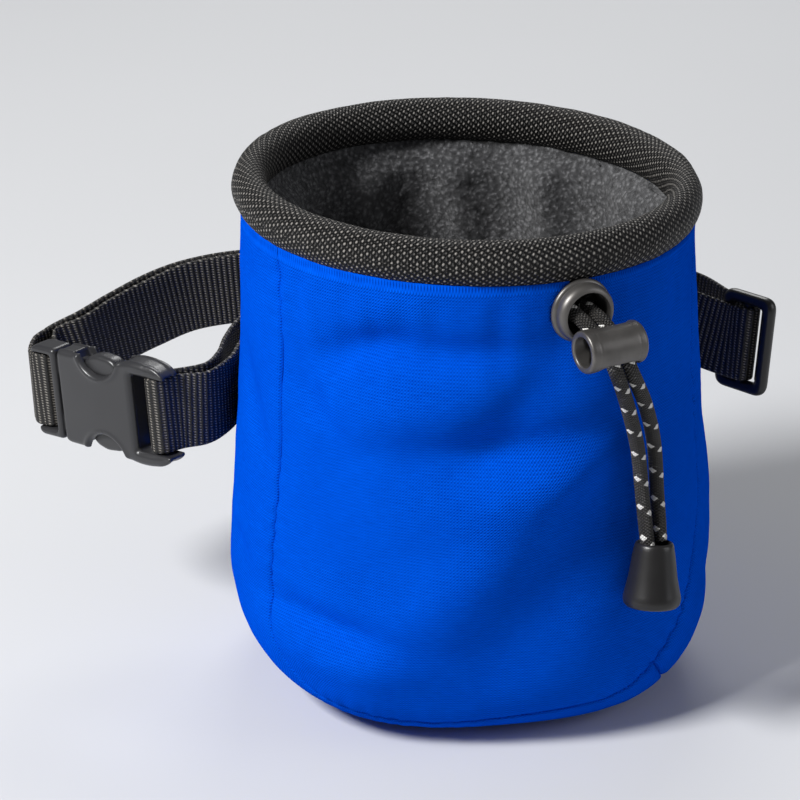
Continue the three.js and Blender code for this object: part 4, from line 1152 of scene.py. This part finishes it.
def sculptPlate(name, inside, face, rear, low, high, step=0.3):
    # Closed plate over the places where inside is above zero, between two height fields. Sizes are in mm.
    xs = np.arange(low[0], high[0] + step, step)
    ys = np.arange(low[1], high[1] + step, step)
    x, y = np.meshgrid(xs, ys, indexing="ij")
    depth = inside(x, y)
    depth = np.where(np.abs(depth) < 1e-4, 1e-4, depth)
    spots_ = np.stack([x, y, depth], -1).reshape(-1, 3).tolist()
    tall = len(ys)
    cuts, polygons, openEdges = {}, [], []

    def cut(a, b):
        key = (min(a, b), max(a, b))
        if key not in cuts:
            p, q = spots_[key[0]], spots_[key[1]]
            t = p[2] / (p[2] - q[2])
            spots_.append([p[0] + (q[0] - p[0]) * t, p[1] + (q[1] - p[1]) * t, 0.0])
            cuts[key] = len(spots_) - 1
        return cuts[key]

    for i in range(len(xs) - 1):
        for j in range(tall - 1):
            cell = [i * tall + j, (i + 1) * tall + j, (i + 1) * tall + j + 1, i * tall + j + 1]
            positive = [spots_[v][2] > 0 for v in cell]
            if all(positive):
                polygons.append(cell)
            elif any(positive):
                polygon, leaving, entering = [], None, None
                for k in range(4):
                    a, b = cell[k], cell[(k + 1) % 4]
                    if positive[k]:
                        polygon.append(a)
                    if positive[k] != positive[(k + 1) % 4]:
                        polygon.append(cut(a, b))
                        if positive[k]:
                            leaving = polygon[-1]
                        else:
                            entering = polygon[-1]
                polygons.append(polygon)
                openEdges.append((leaving, entering))
    used = sorted({v for polygon in polygons for v in polygon})
    order = {v: i for i, v in enumerate(used)}
    px_, py_, pd_ = np.array(spots_)[used].T
    pd_ = np.maximum(pd_, 0)
    count = len(used)
    vertices = np.concatenate([np.stack([px_, py_, face(px_, py_, pd_)], -1),
                               np.stack([px_, py_, rear(px_, py_, pd_)], -1)])
    faces = [tuple(order[v] for v in polygon) for polygon in polygons]
    faces += [tuple(order[v] + count for v in reversed(polygon)) for polygon in polygons]
    faces += [(order[b] + count, order[b], order[a], order[a] + count) for a, b in openEdges]
    return meshPiece(name, vertices, faces)


def rod(name, start, end, size, segments=32, capped=0.4):
    # A round bar with eased ends between two points
    start, end = Vector(start), Vector(end)
    long = (end - start).length
    piece = turnedPiece(name, [(size - capped, 0), (size - capped * 0.3, capped * 0.3), (size, capped),
                               (size, long - capped), (size - capped * 0.3, long - capped * 0.3),
                               (size - capped, long)], segments)
    spin = (end - start).normalized().to_track_quat("Z", "Y").to_matrix().to_4x4()
    return moveMesh(piece, Matrix.Translation(start * mm) @ spin)


def fuse(name, pieces, voxel, rounds, factor=0.5):
    # Joined blocks get one fine even skin, eased so that every edge has a moulded radius
    bpy.ops.object.select_all(action="DESELECT")
    for piece in pieces:
        piece.select_set(True)
    bpy.context.view_layer.objects.active = pieces[0]
    if len(pieces) > 1:
        bpy.ops.object.join()
    piece = bpy.context.object
    piece.name = name
    applyModifier(piece, "REMESH", mode="VOXEL", voxel_size=voxel * mm)
    applyModifier(piece, "SMOOTH", factor=factor, iterations=rounds)
    piece.data.shade_smooth()
    return piece


def arcPoints(centreX, centreY, size, start, end, count):
    return [(centreX + size * math.cos(math.radians(start + (end - start) * i / count)),
             centreY + size * math.sin(math.radians(start + (end - start) * i / count))) for i in range(count + 1)]


def roundCorners(outline, size, steps=5):
    # Every corner of a closed outline is turned into a small arc
    result = []
    count = len(outline)
    for i in range(count):
        before, here, after = (np.array(outline[(i + k) % count], float) for k in (-1, 0, 1))
        first, second = before - here, after - here
        reach = min(size, np.linalg.norm(first) * 0.45, np.linalg.norm(second) * 0.45)
        a, b = here + unit(first) * reach, here + unit(second) * reach
        for k in range(steps + 1):
            t = k / steps
            result.append(tuple((1 - t) ** 2 * a + 2 * t * (1 - t) * here + t * t * b))
    return result


def insideOutline(outline):
    line = np.array(list(outline) + [outline[0]])
    return lambda x, y: insideLine(x, y, line)


# Buckle: drawn flat from the female bar at the origin, x along the buckle, y up its width, then stood up
buckle = {
    "height": 27, "thickness": 8.6, "femaleLength": 27.5, "slotLength": 3.5, "railEnd": 5,
    "notchRadius": 7.2, "notchDepth": 5, "pocket": 5.4, "armHeight": 6, "frameGap": 0.5,
    "edge": 1.7, "dome": 0.45, "lipHeight": 0.5, "lipWidth": 0.75, "lipAway": 0.95, "voxel": 0.3,
}
halfHeight = buckle["height"] / 2
railInside = belt["width"] / 2 + belt["gap"]
bodyStart = barWrap + belt["thickness"] / 2 + buckle["slotLength"]
bodyEnd = bodyStart + buckle["femaleLength"]
notchAt = bodyStart + buckle["femaleLength"] * 0.42
notchRise = halfHeight + buckle["notchRadius"] - buckle["notchDepth"]
notchHalf = math.degrees(math.acos((buckle["notchRadius"] - buckle["notchDepth"]) / buckle["notchRadius"]))


def mirrorOutline(upper):
    return upper + [(x, -y) for x, y in reversed(upper)]


notchArc = arcPoints(notchAt, notchRise, buckle["notchRadius"], -90 + notchHalf, -90 - notchHalf, 28)
femaleUpper = ([(bodyEnd, halfHeight - 1.6), (bodyEnd - 0.6, halfHeight - 0.5),
                (bodyEnd - 1.8, halfHeight - 0.1)]
               + notchArc
               + [(bodyStart + 1.8, halfHeight + 0.7), (bodyStart - 1, halfHeight + 1),
                  (bodyStart - 4, halfHeight + 0.9),
                  (-1.4, halfHeight + 0.3), (-3.6, halfHeight - 0.7), (-buckle["railEnd"], halfHeight - 2),
                  (-buckle["railEnd"], railInside), (bodyStart, railInside)])
inFemale = insideOutline(roundCorners(mirrorOutline(femaleUpper), 0.9, 4))


def fromNotch(x, y):
    return np.hypot(x - notchAt, np.abs(y) - notchRise) - buckle["notchRadius"]


def femaleFace(x, y, inside_):
    half = buckle["thickness"] / 2
    along = np.clip((x - bodyStart) / buckle["femaleLength"], 0, 1)
    dome = buckle["dome"] * (1 - (2 * along - 1) ** 2) * (1 - np.clip(np.abs(y) / halfHeight, 0, 1) ** 2)
    lip = buckle["lipHeight"] * np.exp(-((fromNotch(x, y) - buckle["lipAway"]) / buckle["lipWidth"]) ** 2)
    rails = 0.5 * (1 - smoothStep(x, -buckle["railEnd"], bodyStart - 1))
    return half - buckle["dome"] + dome + lip - rails - eased(inside_, buckle["edge"])


def inPocketLayer(x, y):
    return np.minimum(inFemale(x, y) - 0.25, fromNotch(x, y) - 2.6)


pocket = buckle["pocket"] / 2
boxLow = (-buckle["railEnd"] - 1, -halfHeight - 2)
boxHigh = (bodyEnd + 1, halfHeight + 2)
femaleLayers = [
    sculptPlate("frontShell", inFemale, femaleFace, lambda x, y, d: 0 * x + pocket, boxLow, boxHigh),
    sculptPlate("rearShell", inFemale, lambda x, y, d: 0 * x - pocket, lambda x, y, d: -femaleFace(x, y, d),
                boxLow, boxHigh),
    sculptPlate("middleLayer", inPocketLayer, lambda x, y, d: 0 * x + pocket + 0.4, lambda x, y,
                d: 0 * x - pocket - 0.4,
                boxLow, boxHigh),
    rod("bar", (0, -railInside - 1, 0), (0, railInside + 1, 0), belt["barRadius"]),
]
female = fuse("buckle_female_shell", femaleLayers, buckle["voxel"], 3)

frameStart = bodyEnd + buckle["frameGap"]
frameEnd = belt["bucklePitch"] + belt["barRadius"] + 1.6
frameWall = halfHeight - 0.6
frameUpper = [(frameEnd, railInside), (frameEnd, frameWall - 1.8), (frameEnd - 0.7, frameWall - 0.5),
              (frameEnd - 2, frameWall), (frameStart + 0.6, frameWall), (frameStart, frameWall - 0.8)]
frameOutline = frameUpper + [(x, -y) for x, y in reversed(frameUpper)] + [(frameStart + 2.4, -railInside),
                                                                         (frameStart + 2.4, railInside)]
inFrame = insideOutline(roundCorners(frameOutline, 0.5, 4))
frameHalf = (buckle["thickness"] - 1) / 2
armTop = halfHeight - 2 - belt["gap"]
armHalf = buckle["pocket"] / 2 - belt["gap"]
armOutline = [
    (frameStart + 1, armTop), (notchAt + buckle["notchRadius"] - 1, armTop), (notchAt + 4.8,
                                                                              halfHeight - 0.9),
    (notchAt + 1.5, halfHeight + 0.1), (notchAt - 3.5, halfHeight - 0.4), (notchAt - 5.4, halfHeight - 1.6),
    (notchAt - 6.4, halfHeight - 4.2), (notchAt - 6.4, armTop - buckle["armHeight"]),
    (frameStart + 1, armTop - buckle["armHeight"]),
]
inArm = insideOutline(roundCorners(armOutline, 1.4, 5))


def armFace(x, y, inside_):
    return armHalf - eased(inside_, 1.3) + 0 * x


maleLayers = [
    sculptPlate("frame", inFrame, lambda x, y, d: frameHalf - eased(d, 1.3), lambda x, y,
                d: eased(d, 1.3) - frameHalf,
                (frameStart - 1, -halfHeight - 1), (frameEnd + 1, halfHeight + 1)),
    rod("bar", (belt["bucklePitch"], -railInside - 1, 0), (belt["bucklePitch"], railInside + 1, 0),
        belt["barRadius"]),
]
for side in (1, -1):
    maleLayers.append(sculptPlate("arm", lambda x, y: inArm(x, side * y), armFace, lambda x, y,
                                  d: -armFace(x, y, d),
                                  (notchAt - 8, min(side * 1, side * (halfHeight + 1))),
                                  (frameStart + 2, max(side * 1, side * (halfHeight + 1)))))
male = fuse("buckle_male_prongs", maleLayers, buckle["voxel"], 2)
# Plate x goes along the buckle, plate y up its width, and its face looks out of the buckle
buckleAlong = heading(belt["buckleYaw"]) * math.cos(buckleDip) - zUp * math.sin(buckleDip)
buckleFace = np.cross(buckleAlong, buckleUp)
for piece, slotNode in ((female, "buckle_female"), (male, "buckle_male")):
    moveMesh(piece, frameOf(femaleBar, buckleAlong, buckleUp, buckleFace))
    finishPiece(piece, buckleAcetal, "acetal", slotNode)
print("buckle made", len(female.data.polygons), len(male.data.polygons))


# Slider: a flat frame with a middle bar, its outline and edges well rounded
slider = {"length": 16.8, "thickness": 3.8, "rail": 3.4, "corner": 3.8, "edge": 1.7, "ledge": 1.7}
sliderHalf = slider["length"] / 2
sliderTall = railInside + slider["rail"]
outerFrame = roundCorners([(sliderHalf, -sliderTall), (sliderHalf, sliderTall), (-sliderHalf, sliderTall),
                           (-sliderHalf, -sliderTall)], slider["corner"], 10)
holeX = sliderHalf - slider["rail"]
innerFrame = roundCorners([(holeX, -railInside), (holeX, railInside), (-holeX, railInside),
                           (-holeX, -railInside)],
                          1.4, 6)
inOuter, inHole = insideOutline(outerFrame), insideOutline(innerFrame)


def sliderFace(x, y, inside_):
    return slider["thickness"] / 2 - eased(inside_, slider["edge"]) + 0 * x


sliderPiece = fuse("belt_slider_frame", [
    sculptPlate("sliderPlate", lambda x, y: np.minimum(inOuter(x, y), -inHole(x, y)), sliderFace,
                lambda x, y, d: -sliderFace(x, y, d), (-sliderHalf - 1, -sliderTall - 1), (sliderHalf + 1,
                                                                                           sliderTall + 1),
                0.25),
    sculptPlate("ledge", insideOutline([(holeX - slider["ledge"], -railInside), (holeX + 1, -railInside),
                                        (holeX + 1, railInside), (holeX - slider["ledge"], railInside)]),
                lambda x, y, d: 0 * x - slider["thickness"] / 3, lambda x, y, d: 0 * x - slider["thickness"] / 2 + 0.05,
                (holeX - 2, -railInside - 1), (holeX + 2, railInside + 1), 0.25),
    rod("bar", (0, -railInside - 1, 0), (0, railInside + 1, 0), belt["barRadius"]),
], 0.24, 2)
moveMesh(sliderPiece, frameOf(sliderBar, sliderOut, sliderUp, np.cross(sliderOut, sliderUp)))
finishPiece(sliderPiece, cordEndPlastic, "acetal", "belt_slider")
print("slider made")


# Eyelet: stepped grommet, a flat flange with a raised round collar
eyelet = {"angle": shell["eyeletAngle"], "height": shell["eyeletHeight"], "hole": 5.5, "flange": 8.1,
          "collar": 7.5, "rise": 5}
eyeletSeat = foldedPoint(np.array([eyelet["angle"]]), np.array([eyelet["height"] / rimTop]))[0]
eyeletOut = np.array([math.sin(math.radians(eyelet["angle"])), -math.cos(math.radians(eyelet["angle"])), 0])
eyeletSide = unit(np.cross(zUp, eyeletOut))
hole, flange, collar, lift = eyelet["hole"], eyelet["flange"], eyelet["collar"], eyelet["rise"]
grommet = turnedPiece("eyelet_grommet", [
    (hole, -1.0), (hole + 0.7, -1.0), (hole + 0.7, 0.3), (flange - 0.7, 0.3), (flange - 0.15, 0.45), (flange,
                                                                                                      0.8),
    (flange - 0.1, 1.3), (flange - 0.45, 1.6), (collar - 0.1, 1.72), (collar - 0.02, 1.95), (collar, 2.4),
    (collar, 3.2), (collar - 0.15, 3.9), (collar - 0.55, 4.5), (collar - 1.1, 4.88), (collar - 1.6, 5),
    (hole + 0.25, 4.7), (hole + 0.05, 4.3), (hole, 3.7), (hole, 1.5), (hole, -1.0),
], segments=72, ends=False)
moveMesh(grommet, frameOf(eyeletSeat, eyeletSide, zUp, eyeletOut))
finishPiece(grommet, plating, "gunmetal", "eyelet")
print("eyelet made")


# Cord lock: a lying barrel with its plunger bore at the left end and a slot for the strands
lock = {
    "radius": 5.3, "length": 16, "bore": 3.7, "boreDepth": 4.2, "slotShift": 0.6, "slotIn": 0.9,
    "slotRoom": 2.2, "angle": 19.5, "tilt": 30, "place": (22.6, -65.7, 115.8),
}
size, long, bore = lock["radius"], lock["length"], lock["bore"]
barrel = turnedPiece("cord_lock_barrel", [
    (0.02, lock["boreDepth"]), (bore - 0.3, lock["boreDepth"]), (bore, lock["boreDepth"] - 0.3), (bore, 0.5),
    (bore + 0.15, 0.15), (bore + 0.45, 0), (size - 0.8, 0), (size - 0.35, 0.12), (size - 0.1, 0.4), (size,
                                                                                                     0.9),
    (size, 2.2), (size - 0.06, 2.4), (size - 0.06, 2.55), (size, 2.75),
    (size, long - 2.75), (size - 0.06, long - 2.55), (size - 0.06, long - 2.4), (size, long - 2.2),
    (size, long - 1.2), (size - 0.15, long - 0.6), (size - 0.55, long - 0.2), (size - 1.2, long), (0.02,
                                                                                                   long),
], segments=72, ends=False)
moveMesh(barrel, Matrix.Translation((-long / 2 * mm, 0, 0)) @ Matrix.Rotation(math.pi / 2, 4, "Y"))
wide = drawCord["diameter"] * 2 + 2 * lock["slotRoom"]
deep = drawCord["diameter"] + lock["slotRoom"]
slotOutline = roundCorners([(wide / 2, -deep / 2), (wide / 2, deep / 2), (-wide / 2, deep / 2),
                            (-wide / 2, -deep / 2)],
                           deep * 0.45, 6)
slotCutter = sculptPlate("slotCutter", insideOutline(slotOutline), lambda x, y, d: 0 * x + size * 2,
                         lambda x, y, d: 0 * x - size * 2, (-wide / 2 - 1, -deep / 2 - 1), (wide / 2 + 1,
                                                                                            deep / 2 + 1), 0.5)
tilt = Matrix.Rotation(-math.radians(lock["tilt"]), 4, "X")
moveMesh(slotCutter, tilt @ Matrix.Translation((lock["slotShift"] * mm, lock["slotIn"] * mm, 0)))
applyModifier(barrel, "BOOLEAN", object=slotCutter, operation="DIFFERENCE", solver="EXACT")
bpy.data.objects.remove(slotCutter)
barrel = fuse("cord_lock_barrel", [barrel], 0.2, 2)
moveMesh(barrel, Matrix.Translation(Vector(lock["place"]) * mm) @ Matrix.Rotation(math.radians(lock["angle"]), 4, "Z"))
finishPiece(barrel, plating, "gunmetal", "cord_lock")

# Cord end: a tapered plug moulded round both strands
cordEnd = {"top": 5, "foot": 7.3, "length": 15, "place": (37.45, -57.9, 57), "lean": (1, 3.3, 14.6)}
top_, foot_, tall = cordEnd["top"], cordEnd["foot"], cordEnd["length"]
plug = turnedPiece("cord_end_plug", [
    (0.02, 0.25), (foot_ - 3.2, 0.25), (foot_ - 2.4, 0.02), (foot_ - 1.5, 0), (foot_ - 0.7,
                                                                               0.2), (foot_ - 0.2, 0.75),
    (foot_, 1.6), (foot_, 2.6), (foot_ - 0.22, 3.5), (foot_ - 1.1, 7.5), (top_ + 0.35, tall - 1.4),
    (top_ + 0.12, tall - 0.2), (top_ - 0.05, tall + 0.7), (top_ - 0.35, tall + 1.3), (top_ - 0.75,
                                                                                      tall + 1.5),
    (top_ - 0.95, tall + 1.3), (top_ - 1.0, tall + 0.8), (top_ - 1.0, tall - 0.2), (0.02, tall - 0.2),
], segments=72, ends=False)
axis = Vector(cordEnd["lean"]).normalized()
foot = Vector(cordEnd["place"]) - axis * tall
moveMesh(plug, Matrix.Translation(foot * mm) @ axis.to_track_quat("Z", "Y").to_matrix().to_4x4())
finishPiece(plug, cordEndPlastic, "cord_end", "cord_end")
print("cord lock and cord end made")

for strand, line, length, carried in ((leftCord, leftLine, leftLength, [barrel, plug]),
                                      (rightCord, rightLine, rightLength, [plug])):
    tuple(line[0] * mm)
    length * mm
    [tuple(p * mm) for p in line[::4]] + [tuple(line[-1] * mm)]


# Pale floor and soft studio light, strongest from the upper left of the picture
studio = {
    "floor": "#CDCED0",
    "lamps": [
        # name, place, aimed at, size, power, colour
        ("keyLamp", (-0.95, -0.42, 1.05), (0, 0, 0.07), 0.36, 28, "#FFFFFF"),
        ("fillLamp", (1.0, -0.35, 0.5), (0, 0, 0.07), 0.6, 2.4, "#F8FAFF"),
        ("rearLamp", (0.25, 0.95, 0.85), (0, 0, 0.1), 0.5, 5, "#FFFFFF"),
    ],
    "world": 0.15,
}
bpy.ops.object.select_all(action="DESELECT")
bpy.ops.mesh.primitive_plane_add(size=6, location=(0, 0, -0.0002))
floor = bpy.context.object
floor.name = "studio_floor"
bpy.ops.object.transform_apply(location=True, rotation=True, scale=True)
paper, tree = newMaterial("matt paper backdrop", Roughness=0.9)
grain = Signal(tree, addNode(tree, "TexNoise", {"Scale": 30, "Detail": 2}).outputs[0])
pale = colour(studio["floor"])
shaded = [part * 0.97 for part in pale[:3]] + [1]
tree.links.new(blend(grain, shaded, pale), tree.nodes["Principled BSDF"].inputs["Base Color"])
floor.data.materials.append(paper)
for name, place, target, size_, power, code in studio["lamps"]:
    bpy.ops.object.light_add(type="AREA", location=place)
    lamp = bpy.context.object
    lamp.name = name
    lamp.data.size = size_
    lamp.data.energy = power
    lamp.data.color = colour(code)[:3]
    lamp.rotation_euler = (Vector(target) - Vector(place)).to_track_quat("-Z", "Y").to_euler()
world = bpy.data.worlds.new("studioWorld")
world.use_nodes = True
world.node_tree.nodes["Background"].inputs["Color"].default_value = colour("#F2F4F8")
world.node_tree.nodes["Background"].inputs["Strength"].default_value = studio["world"]
scene.world = world
scene.view_settings.view_transform = "Standard"
print("studio made")
